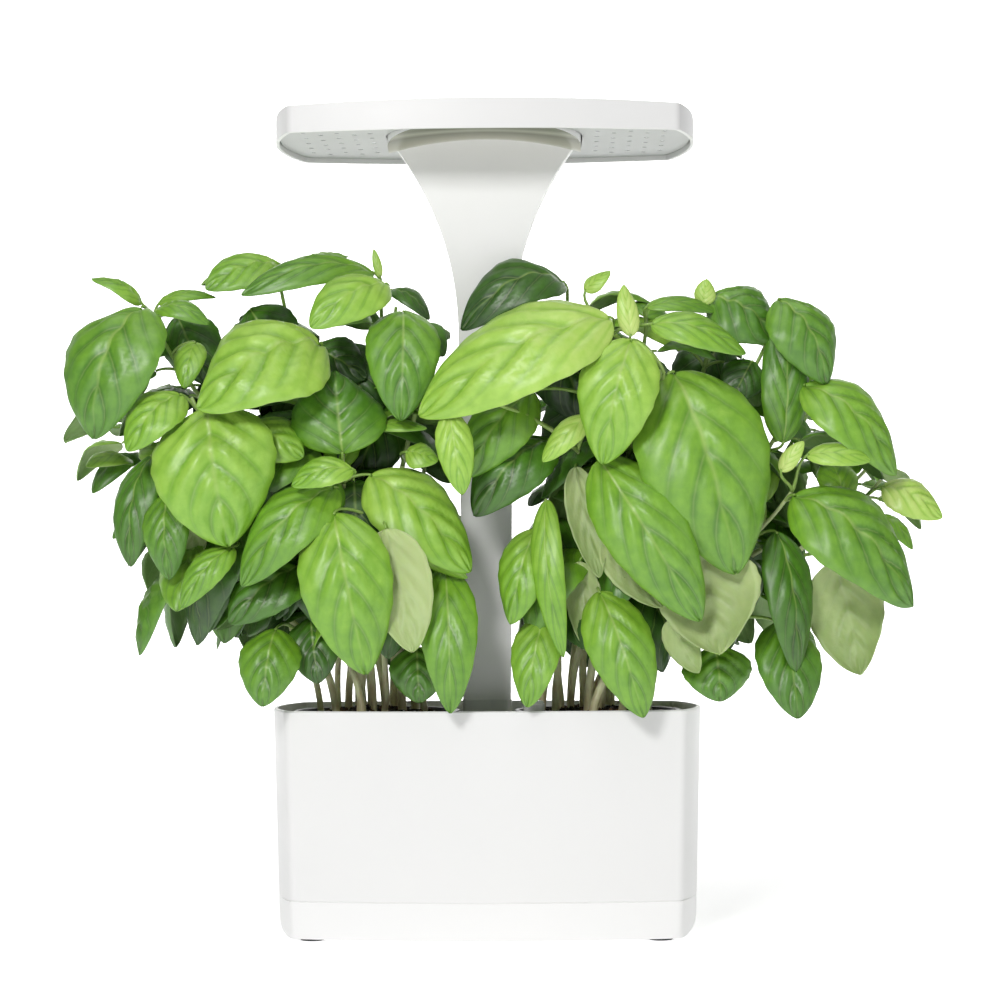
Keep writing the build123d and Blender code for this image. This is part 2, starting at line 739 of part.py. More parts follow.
def wing_section(z, side, inset):
    """Plan of what fills the lamp on one side of the mast's head, as a face at height z."""
    with BuildSketch(Plane.XY.offset(z)) as section:
        add(lamp_section(z, inset).moved(Location((0, 0, -z))))
        with Locations((side * wing_start, 0)):
            near = Align.MIN if side > 0 else Align.MAX
            Rectangle(lamp_width, lamp_depth, align=(near, Align.CENTER), mode=Mode.INTERSECT)
    return section.sketch


for side, word in ((-1, "left"), (1, "right")):
    with BuildPart() as led_board:
        extrude(wing_section(board_low, side, lamp_wall + 4.0), amount=board_thickness)
    led_board.part.label = f"{word}_led_board"
    export_step(led_board.part, f"parts/{word}_led_board.step")

    with BuildPart() as leds:
        with BuildSketch(Plane.XY.offset(reflector_low + 0.2)):
            with Locations([(side * x, y) for x, y in led_spots]):
                Circle(led_radius)
        extrude(amount=board_low - reflector_low - 0.2)
    leds.part.label = f"{word}_leds"
    export_step(leds.part, f"parts/{word}_leds.step")

    with BuildPart() as heat_spreader:
        extrude(wing_section(board_top, side, lamp_wall + 2.0), amount=spreader_thickness)
    heat_spreader.part.label = f"{word}_heat_spreader"
    export_step(heat_spreader.part, f"parts/{word}_heat_spreader.step")

timer_low = reflector_top + 1.0
with BuildPart() as timer_board:
    with BuildSketch(Plane.XY.offset(timer_low)):
        with button_spot:
            Rectangle(46.0, 20.0)
    extrude(amount=board_thickness)
timer_board.part.label = "timer_board"
export_step(timer_board.part, "parts/timer_board.step")

switch_low = timer_low + board_thickness
with BuildPart() as tact_switch:
    with BuildSketch(Plane.XY.offset(switch_low)):
        with button_spot:
            Rectangle(6.0, 6.0)
    extrude(amount=3.4)
    with BuildSketch(Plane.XY.offset(switch_low + 3.4)):
        with button_spot:
            Circle(1.7)
    extrude(amount=0.8)
tact_switch.part.label = "tact_switch"
export_step(tact_switch.part, "parts/tact_switch.step")

button_flange_top = lamp_ceiling - 0.3
with BuildPart() as power_button:
    with BuildSketch(Plane.XY.offset(button_flange_top - 1.5)):
        with button_spot:
            Circle(button_radius)
    extrude(amount=crown_top + button_proud - button_flange_top + 1.5)
    fillet(power_button.faces().sort_by(Axis.Z)[-1].edges(), 0.6)
    with BuildSketch(Plane.XY.offset(button_flange_top - 1.5)):
        with button_spot:
            Circle(button_radius + 2.0)
    extrude(amount=1.5)
    with BuildSketch(Plane.XY.offset(button_flange_top - 1.5)):
        with button_spot:
            Circle(2.0)
    extrude(amount=-(button_flange_top - 1.5 - switch_low - 4.2 - button_travel - 0.2))
power_button.part.label = "power_button"
export_step(power_button.part, "parts/power_button.step")

# ---------------------------------------------------------------- pots, soil and herbs
pot_height = pot_top - pot_bottom
pot_body_radius = pot_top_radius - pot_bead
soil_top = pot_top - soil_drop
crown_x = crown_gap + crown_spread / 2
crown_reach_x = crown_spread / 2 / cos(radians(180.0 / stem_count))
crown_reach_y = crown_half_depth / cos(radians(180.0 / stem_count))
crown_tiers = [  # up the stem, reach of the leaf tips, height of the tips in the crown
    (0.30, 0.78, 0.0),
    (0.50, 0.92, 0.25),
    (0.72, 1.0, 0.52),
    (0.88, 0.92, 0.80),
    (1.0, 0.55, 1.0),
]


def pot_inside_radius(z):
    share = (z - pot_bottom) / pot_height
    return pot_bottom_radius + (pot_body_radius - pot_bottom_radius) * share - pot_wall


def leaf_blade(base, tip):
    """A pointed oval from the base to the tip, lying across the line between them."""
    along = tip - base
    level = Vector(-along.Y, along.X, 0).normalized()
    length = along.length
    with BuildSketch(Plane(origin=base, x_dir=along, z_dir=along.cross(level))) as blade:
        with BuildLine():
            ThreePointArc((0, 0), (0.45 * length, 0.5 * leaf_slimness * length), (length, 0))
            ThreePointArc((length, 0), (0.45 * length, -0.5 * leaf_slimness * length), (0, 0))
        make_face()
    return blade.sketch


for side, word in ((-1, "left"), (1, "right")):
    pot_axis = Axis((side * pot_x, 0, 0), (0, 0, 1))
    pot_plane = Plane(origin=(side * pot_x, 0, 0), x_dir=(1, 0, 0), z_dir=(0, -1, 0))

    with BuildPart() as pot:
        with BuildSketch(pot_plane):
            with BuildLine():
                Polyline(
                    (0, pot_bottom),
                    (pot_bottom_radius, pot_bottom),
                    (pot_body_radius - 0.5, pot_top - 6.0),
                    (pot_top_radius, pot_top - 6.0),
                    (pot_top_radius, pot_top),
                    (pot_inside_radius(pot_top), pot_top),
                    (pot_inside_radius(pot_bottom + pot_wall), pot_bottom + pot_wall),
                    (0, pot_bottom + pot_wall),
                    close=True,
                )
            make_face()
        revolve(axis=pot_axis)
        with BuildSketch(Plane.XY.offset(pot_bottom)):
            with Locations((side * pot_x, 0)):
                with PolarLocations(0.6 * pot_bottom_radius, 6):
                    Circle(4.0)
        extrude(amount=pot_wall, mode=Mode.SUBTRACT)
    pot.part.label = f"{word}_pot"
    export_step(pot.part, f"parts/{word}_pot.step")

    with BuildPart() as soil:
        with BuildSketch(pot_plane):
            with BuildLine():
                Polyline(
                    (0, soil_top + soil_crown),
                    (0, pot_bottom + pot_wall),
                    (pot_inside_radius(pot_bottom + pot_wall) - 0.1, pot_bottom + pot_wall),
                    (pot_inside_radius(soil_top) - 0.1, soil_top),
                )
                dome_edge = (pot_inside_radius(soil_top) - 0.1, soil_top)
                TangentArc((0, soil_top + soil_crown), dome_edge, tangent=(1, 0))
            make_face()
        revolve(axis=pot_axis)
    soil.part.label = f"{word}_soil"
    export_step(soil.part, f"parts/{word}_soil.step")

    stem_lines = []
    for number in range(stem_count):
        turn = radians((number + 0.5) * 360.0 / stem_count)
        foot = Vector(side * (pot_x + 22.0 * cos(turn)), 22.0 * sin(turn), soil_top)
        head = Vector(
            side * (crown_x + 0.22 * crown_spread * cos(turn)),
            0.42 * crown_half_depth * sin(turn),
            crown_low + 0.93 * crown_height,
        )
        stem_lines.append((turn, foot, head))

    with BuildPart() as stems:
        for turn, foot, head in stem_lines:
            with Locations(Plane(origin=foot, z_dir=head - foot)):
                Cylinder(stem_radius, (head - foot).length, align=upright)
        add(soil.part, mode=Mode.SUBTRACT)
    stems.part.label = f"{word}_stems"
    export_step(stems.part, f"parts/{word}_stems.step")

    with BuildPart() as foliage:
        for turn, foot, head in stem_lines:
            for share, reach, height in crown_tiers:
                base = foot + (head - foot) * share
                tip = Vector(
                    side * (crown_x + reach * crown_reach_x * cos(turn)),
                    reach * crown_reach_y * sin(turn),
                    crown_low + height * crown_height,
                )
                extrude(leaf_blade(base, tip), amount=leaf_thickness)
        add(stems.part, mode=Mode.SUBTRACT)
    foliage.part.label = f"{word}_foliage"
    export_step(foliage.part, f"parts/{word}_foliage.step")
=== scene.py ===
# %% [markdown]
# # Self watering planter with two basil plants and a grow lamp
# The planter, its lamp and its works come from the CAD model, which is loaded as a fixed frame. This
# lesson gives every part its finish, and grows the herbs: real leaves, stems and compost in the space
# that the frame keeps for them. Everything is in metres, with +X to the right, +Y to the back and +Z up.

import json
import math

import bmesh
import bpy
import numpy as np
from mathutils import Matrix, Vector, noise


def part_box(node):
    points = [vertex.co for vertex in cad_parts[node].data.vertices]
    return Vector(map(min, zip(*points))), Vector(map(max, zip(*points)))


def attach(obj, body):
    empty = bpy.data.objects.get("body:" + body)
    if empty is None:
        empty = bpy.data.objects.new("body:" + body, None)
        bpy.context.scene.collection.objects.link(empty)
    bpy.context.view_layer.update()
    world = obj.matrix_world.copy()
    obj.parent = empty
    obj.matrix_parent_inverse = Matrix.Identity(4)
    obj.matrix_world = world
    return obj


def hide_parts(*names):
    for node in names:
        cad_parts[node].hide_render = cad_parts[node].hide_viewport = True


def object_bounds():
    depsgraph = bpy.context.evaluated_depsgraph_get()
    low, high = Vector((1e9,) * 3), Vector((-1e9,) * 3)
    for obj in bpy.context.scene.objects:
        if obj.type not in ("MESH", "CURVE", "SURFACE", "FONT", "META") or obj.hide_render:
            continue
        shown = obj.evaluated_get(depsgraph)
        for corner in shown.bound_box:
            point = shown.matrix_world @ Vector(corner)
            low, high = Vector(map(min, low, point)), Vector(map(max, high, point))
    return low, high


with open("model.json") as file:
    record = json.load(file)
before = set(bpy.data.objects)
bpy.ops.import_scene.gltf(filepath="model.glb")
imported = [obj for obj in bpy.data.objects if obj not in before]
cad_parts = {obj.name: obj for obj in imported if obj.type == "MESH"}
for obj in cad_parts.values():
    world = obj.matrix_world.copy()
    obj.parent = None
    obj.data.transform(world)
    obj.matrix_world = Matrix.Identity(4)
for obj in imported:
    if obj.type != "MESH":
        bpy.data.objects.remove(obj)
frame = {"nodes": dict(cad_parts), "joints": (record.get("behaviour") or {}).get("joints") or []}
cad_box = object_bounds()
print("frame box", [round(c, 4) for corner in cad_box for c in corner])

# %% [markdown]
# ## The camera
# A long lens from the front, a little above the planter's rim and looking slightly up at the lamp. The
# camera stands about a metre and a half away, so that the lamp's underside shows but its top does not. It
# looks at a point on the mast and is rolled by a quarter of a degree, the way a hand-held camera is.

# %% Camera
camera_place = Vector((0.040, -1.620, 0.223))
heading, pitch, roll = math.radians(1.11), math.radians(1.72), math.radians(-0.25)
lens = bpy.data.cameras.new("camera")
lens.lens = 91.7
lens.sensor_width = 36.0
camera = bpy.data.objects.new("camera", lens)
aim = Matrix.Rotation(heading, 4, "Z") @ Matrix.Rotation(math.pi / 2 + pitch, 4, "X")
camera.matrix_world = Matrix.Translation(camera_place) @ aim @ Matrix.Rotation(roll, 4, "Z")
bpy.context.scene.collection.objects.link(camera)
bpy.context.scene.camera = camera
print("camera", tuple(round(c, 3) for c in camera.location))

# %% [markdown]
# ## Floor and light
# A product studio: a white sheet that curves up behind the object, a soft main light high in front on the
# left, a weaker broad one on the right, one overhead and one that lights the sheet. The surround is a dim
# even white for the object and plain white paper to look at, so shadows stay soft and white plastic keeps
# a little shading.

# %% Floor sheet
sheet_half_width, sheet_front, sheet_back, sheet_bend = 4.0, -4.0, 2.2, 1.2
profile = [(sheet_front, 0.0)]
profile += [
    (sheet_back + sheet_bend * math.sin(a), sheet_bend * (1 - math.cos(a)))
    for a in np.linspace(0.0, math.pi / 2, 16)
]
profile.append((sheet_back + sheet_bend, 4.0))
sheet_mesh = bpy.data.meshes.new("studio_sheet")
sheet_points = [(x, y, z) for y, z in profile for x in (-sheet_half_width, sheet_half_width)]
sheet_faces = [(2 * i, 2 * i + 1, 2 * i + 3, 2 * i + 2) for i in range(len(profile) - 1)]
sheet_mesh.from_pydata(sheet_points, [], sheet_faces)
sheet_mesh.shade_smooth()
studio_sheet = bpy.data.objects.new("studio_sheet", sheet_mesh)
bpy.context.scene.collection.objects.link(studio_sheet)


# %% Lights
def area_light(name, place, target, size, power, tint=(1, 1, 1)):
    """A square soft light that looks at a point."""
    light = bpy.data.lights.new(name, "AREA")
    light.energy, light.size, light.color = power, size, tint
    holder = bpy.data.objects.new(name, light)
    holder.location = place
    holder.rotation_euler = (Vector(target) - Vector(place)).to_track_quat("-Z", "Y").to_euler()
    bpy.context.scene.collection.objects.link(holder)
    return holder


middle = (0.0, 0.0, 0.28)
area_light("key_light", (-0.6, -2.1, 1.25), middle, 0.45, 24.0, (1.0, 0.995, 0.985))
area_light("right_fill", (1.9, -1.3, 0.9), middle, 1.6, 4.5)
area_light("top_light", (0.0, -0.5, 2.7), middle, 1.6, 13.0)
back_light = area_light("back_sheet_light", (0.0, 1.5, 2.6), (0.0, 3.2, 0.8), 2.4, 58.0)
back_light.data.spread = math.radians(120)
surround = bpy.data.worlds.new("surround")
surround.use_nodes = True
sky = surround.node_tree
glow = sky.nodes["Background"]
glow.inputs["Color"].default_value = (1.0, 1.0, 1.0, 1.0)
glow.inputs["Strength"].default_value = 0.20
seen = sky.nodes.new("ShaderNodeLightPath")
paper = sky.nodes.new("ShaderNodeBackground")
either = sky.nodes.new("ShaderNodeMixShader")
sky.links.new(seen.outputs["Is Camera Ray"], either.inputs["Fac"])
sky.links.new(glow.outputs["Background"], either.inputs[1])
sky.links.new(paper.outputs["Background"], either.inputs[2])
sky.links.new(either.outputs["Shader"], sky.nodes["World Output"].inputs["Surface"])
bpy.context.scene.world = surround
bpy.context.scene.view_settings.view_transform = "Standard"


# %% [markdown]
# ## A small kit for materials
# Every finish starts from the Principled shader. Small helpers keep the recipes short: they add a node,
# link two sockets, run a noise pattern through a piece in its own coordinates, turn a value into a colour
# or a bump, and do sums.

# %% Material helpers
def finish(name, colour, roughness, metallic=0.0):
    """A new material and its Principled shader."""
    material = bpy.data.materials.new(name)
    material.use_nodes = True
    shader = material.node_tree.nodes["Principled BSDF"]
    shader.inputs["Base Color"].default_value = (*colour, 1.0)
    shader.inputs["Roughness"].default_value = roughness
    shader.inputs["Metallic"].default_value = metallic
    return material, shader


def node(material, kind, **settings):
    made = material.node_tree.nodes.new(kind)
    for key, value in settings.items():
        setattr(made, key, value)
    return made


def link(material, source, target):
    material.node_tree.links.new(source, target)


def noise_pattern(material, scale, detail=2.0, stretch=(1, 1, 1)):
    """A noise value that runs through the piece, finer as the scale grows."""
    place = node(material, "ShaderNodeTexCoord")
    mapping = node(material, "ShaderNodeMapping")
    mapping.inputs["Scale"].default_value = stretch
    pattern = node(material, "ShaderNodeTexNoise")
    pattern.inputs["Scale"].default_value = scale
    pattern.inputs["Detail"].default_value = detail
    link(material, place.outputs["Object"], mapping.inputs["Vector"])
    link(material, mapping.outputs["Vector"], pattern.inputs["Vector"])
    return pattern.outputs["Fac"]


def ramp(material, value, stops):
    """Turns a value into a colour through the given stops of (position, colour)."""
    band = node(material, "ShaderNodeValToRGB")
    while len(band.color_ramp.elements) < len(stops):
        band.color_ramp.elements.new(0.5)
    for element, (position, colour) in zip(band.color_ramp.elements, stops):
        element.position = position
        element.color = (*colour, 1.0)
    link(material, value, band.inputs["Fac"])
    return band.outputs["Color"]


def paint(material, shader, value, stops):
    link(material, ramp(material, value, stops), shader.inputs["Base Color"])


def parts_of(material, vector):
    """The X, Y and Z of a vector socket."""
    made = node(material, "ShaderNodeSeparateXYZ")
    link(material, vector, made.inputs["Vector"])
    return made.outputs["X"], made.outputs["Y"], made.outputs["Z"]


def bump(material, shader, value, depth, strength=1.0):
    lift = node(material, "ShaderNodeBump")
    lift.inputs["Distance"].default_value = depth
    lift.inputs["Strength"].default_value = strength
    link(material, value, lift.inputs["Height"])
    link(material, lift.outputs["Normal"], shader.inputs["Normal"])


def math_node(material, operation, first, second=0.0, clamp=False):
    """One sum in a material: each input is a socket or a number."""
    made = node(material, "ShaderNodeMath", operation=operation, use_clamp=clamp)
    for slot, value in zip(made.inputs, (first, second)):
        if isinstance(value, (int, float)):
            slot.default_value = value
        else:
            link(material, value, slot)
    return made.outputs["Value"]


# %% [markdown]
# ## White moulded plastic
# The housing, tray, mast and lamp are injection moulded ABS with a satin gloss. Up close such a surface
# is never flat: it has a very fine grain and a slow waviness that bends reflections, and its white drifts
# slightly from warm to cool. One function makes each white part its own version. The whites also carry
# painted light: the tray and mast are a lighter white than the housing, and the lamp and its reflector a
# darker one, as painted shade.

# %% White plastic
def moulded_plastic(name, colour, roughness, grain=0.00002, drift=0.008):
    material, shader = finish(name, colour, roughness)
    slow = noise_pattern(material, 9.0, 3.0)
    warm = tuple(min(c * (1 + drift * k), 1.0) for c, k in zip(colour, (1.0, 0.7, 0.1)))
    cool = tuple(c * (1 - drift) for c in colour)
    paint(material, shader, slow, [(0.3, cool), (0.7, warm)])
    scuff = noise_pattern(material, 60.0, 4.0)
    low, high = roughness * 0.96, roughness * 1.05
    band = ramp(material, scuff, [(0.35, (low,) * 3), (0.65, (high,) * 3)])
    link(material, band, shader.inputs["Roughness"])
    bump(material, shader, noise_pattern(material, 900.0, 2.0), grain)
    return material


shell_white = (0.85, 0.85, 0.85)
housing_finish = moulded_plastic("housing_white", shell_white, 0.36)
# painted light: the tray and the mast are a lighter copy of the housing's white
tray_painted_light_white = moulded_plastic("tray_white", (0.90, 0.90, 0.90), 0.36)
mast_painted_light_white = moulded_plastic("mast_white", (0.91, 0.91, 0.91), 0.40)
# painted shade: the lamp is a darker copy of the same white
lamp_painted_shade_white = moulded_plastic("lamp_white", (0.76, 0.76, 0.76), 0.40)
shelf_finish = moulded_plastic("shelf_white", (0.74, 0.74, 0.73), 0.5, grain=0.00012)
socket_finish = moulded_plastic("socket_white", (0.82, 0.82, 0.815), 0.32)
gauge_finish = moulded_plastic("gauge_white", (0.84, 0.84, 0.83), 0.3)
button_finish = moulded_plastic("button_white", (0.8, 0.8, 0.8), 0.34)
# painted shade: the reflector under the lamp is a grey copy of the white
reflector_painted_shade_grey = moulded_plastic("reflector_white", (0.50, 0.51, 0.51), 0.45, grain=0.00008)
print("white plastics", len(bpy.data.materials))

# %% [markdown]
# The head of the mast fills the trough between the two LED panels. Its underside is painted darker as painted
# shade, an olive grey with one lighter band across it as a painted highlight, and it runs softly into the
# white neck. The finish picks out what faces down, and reads how far front or back a point is.

# %% Mast's underside
surface = node(mast_painted_light_white, "ShaderNodeNewGeometry")
_, _, upward = parts_of(mast_painted_light_white, surface.outputs["Normal"])
steep = math_node(mast_painted_light_white, "SUBTRACT", -0.35, upward)
down = math_node(mast_painted_light_white, "MULTIPLY", steep, 2.2, clamp=True)
mast_place = node(mast_painted_light_white, "ShaderNodeTexCoord")
_, backward, _ = parts_of(mast_painted_light_white, mast_place.outputs["Object"])
from_front = math_node(mast_painted_light_white, "ADD", backward, 0.060)
depth = math_node(mast_painted_light_white, "MULTIPLY", from_front, 18.0, clamp=True)
# painted shade for the underside, with one lighter stop as a painted highlight, then back towards white near
# the neck
painted_shade_colours = [
    (0.00, (0.20, 0.21, 0.16)),
    (0.28, (0.17, 0.18, 0.12)),
    (0.40, (0.42, 0.42, 0.34)),
    (0.52, (0.20, 0.20, 0.15)),
    (0.85, (0.50, 0.48, 0.40)),
    (1.00, (0.80, 0.79, 0.75)),
]
painted_underside_shade = ramp(mast_painted_light_white, depth, painted_shade_colours)
mast_shader = mast_painted_light_white.node_tree.nodes["Principled BSDF"]
mast_white = mast_shader.inputs["Base Color"].links[0].from_socket

# %% [markdown]
# ## Rubber, felt, metal and small works
# What cannot be seen at first glance is finished all the same: soft black rubber under the tray, felt
# wicks with crossed fibres, brushed sheet aluminium behind the LEDs, brass pins, screws with turning
# marks, and a green board.


# %% Other finishes
def mixed(material, share, first, second):
    """Blends two colours, each a socket or a plain colour."""
    blend = node(material, "ShaderNodeMix", data_type="RGBA")
    link(material, share, blend.inputs["Factor"])
    for slot, value in ((blend.inputs[6], first), (blend.inputs[7], second)):
        if isinstance(value, tuple):
            slot.default_value = (*value, 1.0)
        else:
            link(material, value, slot)
    return blend.outputs[2]


# faces that point down show the painted shade in place of the white
link(mast_painted_light_white, mixed(mast_painted_light_white, down, mast_white, painted_underside_shade), mast_shader.inputs["Base Color"])


def rubber_like(name, colour, roughness, scale, depth):
    material, shader = finish(name, colour, roughness)
    speck = noise_pattern(material, scale, 5.0)
    light = tuple(c * 1.35 for c in colour)
    paint(material, shader, speck, [(0.35, colour), (0.7, light)])
    bump(material, shader, speck, depth)
    return material


def metal_like(name, colour, roughness, stretch):
    """Bare metal with fine marks drawn out along one direction."""
    material, shader = finish(name, colour, roughness, 1.0)
    marks = noise_pattern(material, 700.0, 3.0, stretch)
    dull = tuple(c * 0.82 for c in colour)
    paint(material, shader, marks, [(0.3, dull), (0.7, colour)])
    bump(material, shader, marks, 0.00002)
    return material


foot_finish = rubber_like("foot_rubber", (0.03, 0.03, 0.032), 0.75, 500.0, 0.00015)
cable_finish = rubber_like("cable_black", (0.02, 0.02, 0.02), 0.5, 300.0, 0.00005)
jack_finish = rubber_like("jack_black", (0.025, 0.025, 0.027), 0.42, 700.0, 0.00005)
felt_finish = rubber_like("wick_felt", (0.55, 0.53, 0.47), 0.95, 1200.0, 0.0006)
pot_finish = rubber_like("pot_black", (0.022, 0.021, 0.02), 0.45, 260.0, 0.0001)
brass_finish = metal_like("contact_brass", (0.78, 0.57, 0.24), 0.25, (1, 1, 0.1))
screw_finish = metal_like("screw_steel", (0.56, 0.56, 0.57), 0.3, (1, 1, 0.2))
spreader_finish = metal_like("spreader_aluminium", (0.78, 0.78, 0.79), 0.35, (0.05, 1, 1))
board_finish = moulded_plastic("board_white", (0.78, 0.79, 0.78), 0.38)
timer_finish = rubber_like("board_green", (0.02, 0.12, 0.045), 0.35, 400.0, 0.00004)
float_finish = moulded_plastic("float_foam", (0.8, 0.79, 0.74), 0.6, grain=0.0002)
marker_finish = moulded_plastic("marker_orange", (0.75, 0.17, 0.03), 0.35)

# %% [markdown]
# The LEDs are a drop of clear resin over yellow phosphor, and the gauge's window is milky plastic that
# lets some light through to the marker under it.

# %% LED and window finishes
led_finish, led_shader = finish("led_yellow", (0.42, 0.40, 0.24), 0.25)
phosphor = noise_pattern(led_finish, 70.0, 2.0)
phosphor_colours = [(0.38, (0.10, 0.13, 0.15)), (0.62, (0.40, 0.43, 0.42))]
paint(led_finish, led_shader, phosphor, phosphor_colours)
led_shader.inputs["Coat Weight"].default_value = 0.6
window_finish, window_shader = finish("window_clear", (0.86, 0.87, 0.87), 0.2)
haze = noise_pattern(window_finish, 250.0, 3.0)
haze_colours = [(0.3, (0.80, 0.81, 0.81)), (0.7, (0.88, 0.89, 0.89))]
paint(window_finish, window_shader, haze, haze_colours)
window_shader.inputs["Subsurface Weight"].default_value = 0.4
window_shader.inputs["Subsurface Radius"].default_value = (0.004, 0.004, 0.004)

# %% [markdown]
# ## Finishes onto the frame's own parts
# These parts already have their real shape in the frame, so they stay, and only their material changes.

# %% Dress the frame
finish_of = {
    housing_finish: ["outer_shell"],
    tray_painted_light_white: ["base_tray"],
    shelf_finish: ["pot_shelf"],
    foot_finish: ["rubber_feet"],
    felt_finish: ["left_wick_mat", "right_wick_mat"],
    socket_finish: ["mast_socket", "mast_plug"],
    screw_finish: ["socket_screws", "mast_cover_screws", "lamp_screws", "jack_nut"],
    brass_finish: ["socket_contacts", "plug_contacts"],
    jack_finish: ["power_jack", "tact_switch"],
    cable_finish: ["power_lead", "mast_cable"],
    gauge_finish: ["gauge_tube"],
    window_finish: ["gauge_window"],
    float_finish: ["level_float", "float_stem"],
    marker_finish: ["level_marker"],
    pot_finish: ["left_pot", "right_pot"],
    mast_painted_light_white: ["mast_front_shell", "mast_rear_cover"],
    lamp_painted_shade_white: ["lamp_shell"],
    reflector_painted_shade_grey: ["lamp_reflector"],
    board_finish: ["left_led_board", "right_led_board"],
    led_finish: ["left_leds", "right_leds"],
    spreader_finish: ["left_heat_spreader", "right_heat_spreader"],
    timer_finish: ["timer_board"],
    button_finish: ["power_button"],
}
for material, names in finish_of.items():
    for name in names:
        part = frame["nodes"][name]
        part.data.materials.clear()
        part.data.materials.append(material)
print("dressed", sum(len(names) for names in finish_of.values()), "parts")

sheet_finish, sheet_shader = finish("studio_paper", (0.93, 0.93, 0.93), 0.9)
fibres = noise_pattern(sheet_finish, 40.0, 4.0)
paper_colours = [(0.3, (0.925, 0.925, 0.925)), (0.7, (0.94, 0.94, 0.94))]
paint(sheet_finish, sheet_shader, fibres, paper_colours)
sheet_shader.inputs["Emission Color"].default_value = (1.0, 1.0, 1.0, 1.0)
sheet_shader.inputs["Emission Strength"].default_value = 0.45
sheet_mesh.materials.append(sheet_finish)

# %% [markdown]
# ## Basil leaf, finish
# A basil blade is bright yellow-green where it is young and deep green where it is old, satin on top with
# pale veins sunk into it, and matt and much paler underneath. Each point of a blade carries three
# numbers: how far it is from the stalk to the tip, how far from the midrib to the edge, and how light the
# leaf is. The material reads them to draw the midrib and the arching side veins, so the pattern always
# sits on the modelled folds. Beside the side veins it makes the blade darker, as painted shade in the
# grooves.

# %% Leaf finishes
vein_pairs, vein_sweep, vein_bend = 4.2, 0.50, 1.15


def vein_mask(material, along, across):
    """1 on the midrib and the side veins, 0 between them; and a band of painted shade beside the side veins.
    """
    out = math_node(material, "ABSOLUTE", across)
    swept = math_node(material, "MULTIPLY", math_node(material, "POWER", out, vein_bend), vein_sweep)
    phase = math_node(material, "MULTIPLY", math_node(material, "SUBTRACT", along, swept), vein_pairs)
    part = math_node(material, "FRACT", phase)
    near = math_node(material, "MINIMUM", part, math_node(material, "SUBTRACT", 1.0, part))
    side = math_node(material, "SUBTRACT", 1.0, math_node(material, "MULTIPLY", near, 16.0), clamp=True)
    fade = math_node(material, "SUBTRACT", 1.05, math_node(material, "POWER", out, 2.0), clamp=True)
    painted_vein_shade = math_node(material, "SUBTRACT", 1.0, math_node(material, "MULTIPLY", near, 5.0), clamp=True)
    painted_vein_shade = math_node(material, "MULTIPLY", painted_vein_shade, fade)
    side = math_node(material, "MULTIPLY", side, math_node(material, "MULTIPLY", fade, 0.45))
    rib = math_node(material, "SUBTRACT", 1.0, math_node(material, "MULTIPLY", out, 17.0), clamp=True)
    rib = math_node(material, "MULTIPLY", rib, math_node(material, "SUBTRACT", 1.15, along, clamp=True))
    return math_node(material, "MAXIMUM", side, rib), painted_vein_shade


def leaf_finish(name, tints, vein_tint, vein_share, roughness, glow, painted_vein_shade_strength, coat):
    material, shader = finish(name, tints[1][1], roughness)
    blade = node(material, "ShaderNodeAttribute", attribute_name="blade")
    along, across, light = parts_of(material, blade.outputs["Vector"])
    mottle = math_node(material, "MULTIPLY", noise_pattern(material, 130.0, 4.0), 0.30)
    shade = math_node(material, "ADD", light, math_node(material, "SUBTRACT", mottle, 0.15), clamp=True)
    veins, painted_vein_shade = vein_mask(material, along, across)
    # painted shade: the blade is made darker along the grooves beside the side veins
    shade = math_node(material, "SUBTRACT", shade, math_node(material, "MULTIPLY", painted_vein_shade, painted_vein_shade_strength))
    young_base = math_node(material, "MULTIPLY", math_node(material, "SUBTRACT", 0.45, along), 0.22)
    shade = math_node(material, "ADD", shade, young_base, clamp=True)
    share = math_node(material, "MULTIPLY", veins, vein_share)
    colour = mixed(material, share, ramp(material, shade, tints), vein_tint)
    link(material, colour, shader.inputs["Base Color"])
    fine = math_node(material, "MULTIPLY", noise_pattern(material, 1100.0, 2.0), 0.35)
    relief = math_node(material, "SUBTRACT", fine, math_node(material, "MULTIPLY", veins, 0.4))
    bump(material, shader, relief, 0.00028, 0.7)
    shader.inputs["Subsurface Weight"].default_value = glow
    shader.inputs["Subsurface Radius"].default_value = (0.0015, 0.003, 0.0006)
    shader.inputs["Specular IOR Level"].default_value = 0.9
    shader.inputs["Coat Weight"].default_value = coat
    shader.inputs["Coat Roughness"].default_value = 0.3
    return material


upper_tints = [
    (0.0, (0.014, 0.066, 0.002)),
    (0.3, (0.078, 0.240, 0.008)),
    (0.55, (0.205, 0.450, 0.022)),
    (0.78, (0.39, 0.65, 0.08)),
    (1.0, (0.60, 0.77, 0.21)),
]
under_tints = [
    (0.0, (0.04, 0.12, 0.02)),
    (0.5, (0.20, 0.35, 0.09)),
    (1.0, (0.48, 0.60, 0.24)),
]
leaf_upper = leaf_finish("leaf_upper", upper_tints, (0.46, 0.62, 0.17), 0.62, 0.45, 0.02, 0.20, 0.10)
leaf_under = leaf_finish("leaf_under", under_tints, (0.50, 0.62, 0.30), 0.5, 0.55, 0.2, 0.05, 0.0)
print("leaf finishes ready")

# %% [markdown]
# Stalks and stems are pale, watery green with fine ridges along them, and turn woody brown near the
# compost. The third number says how far up the stem a point is.

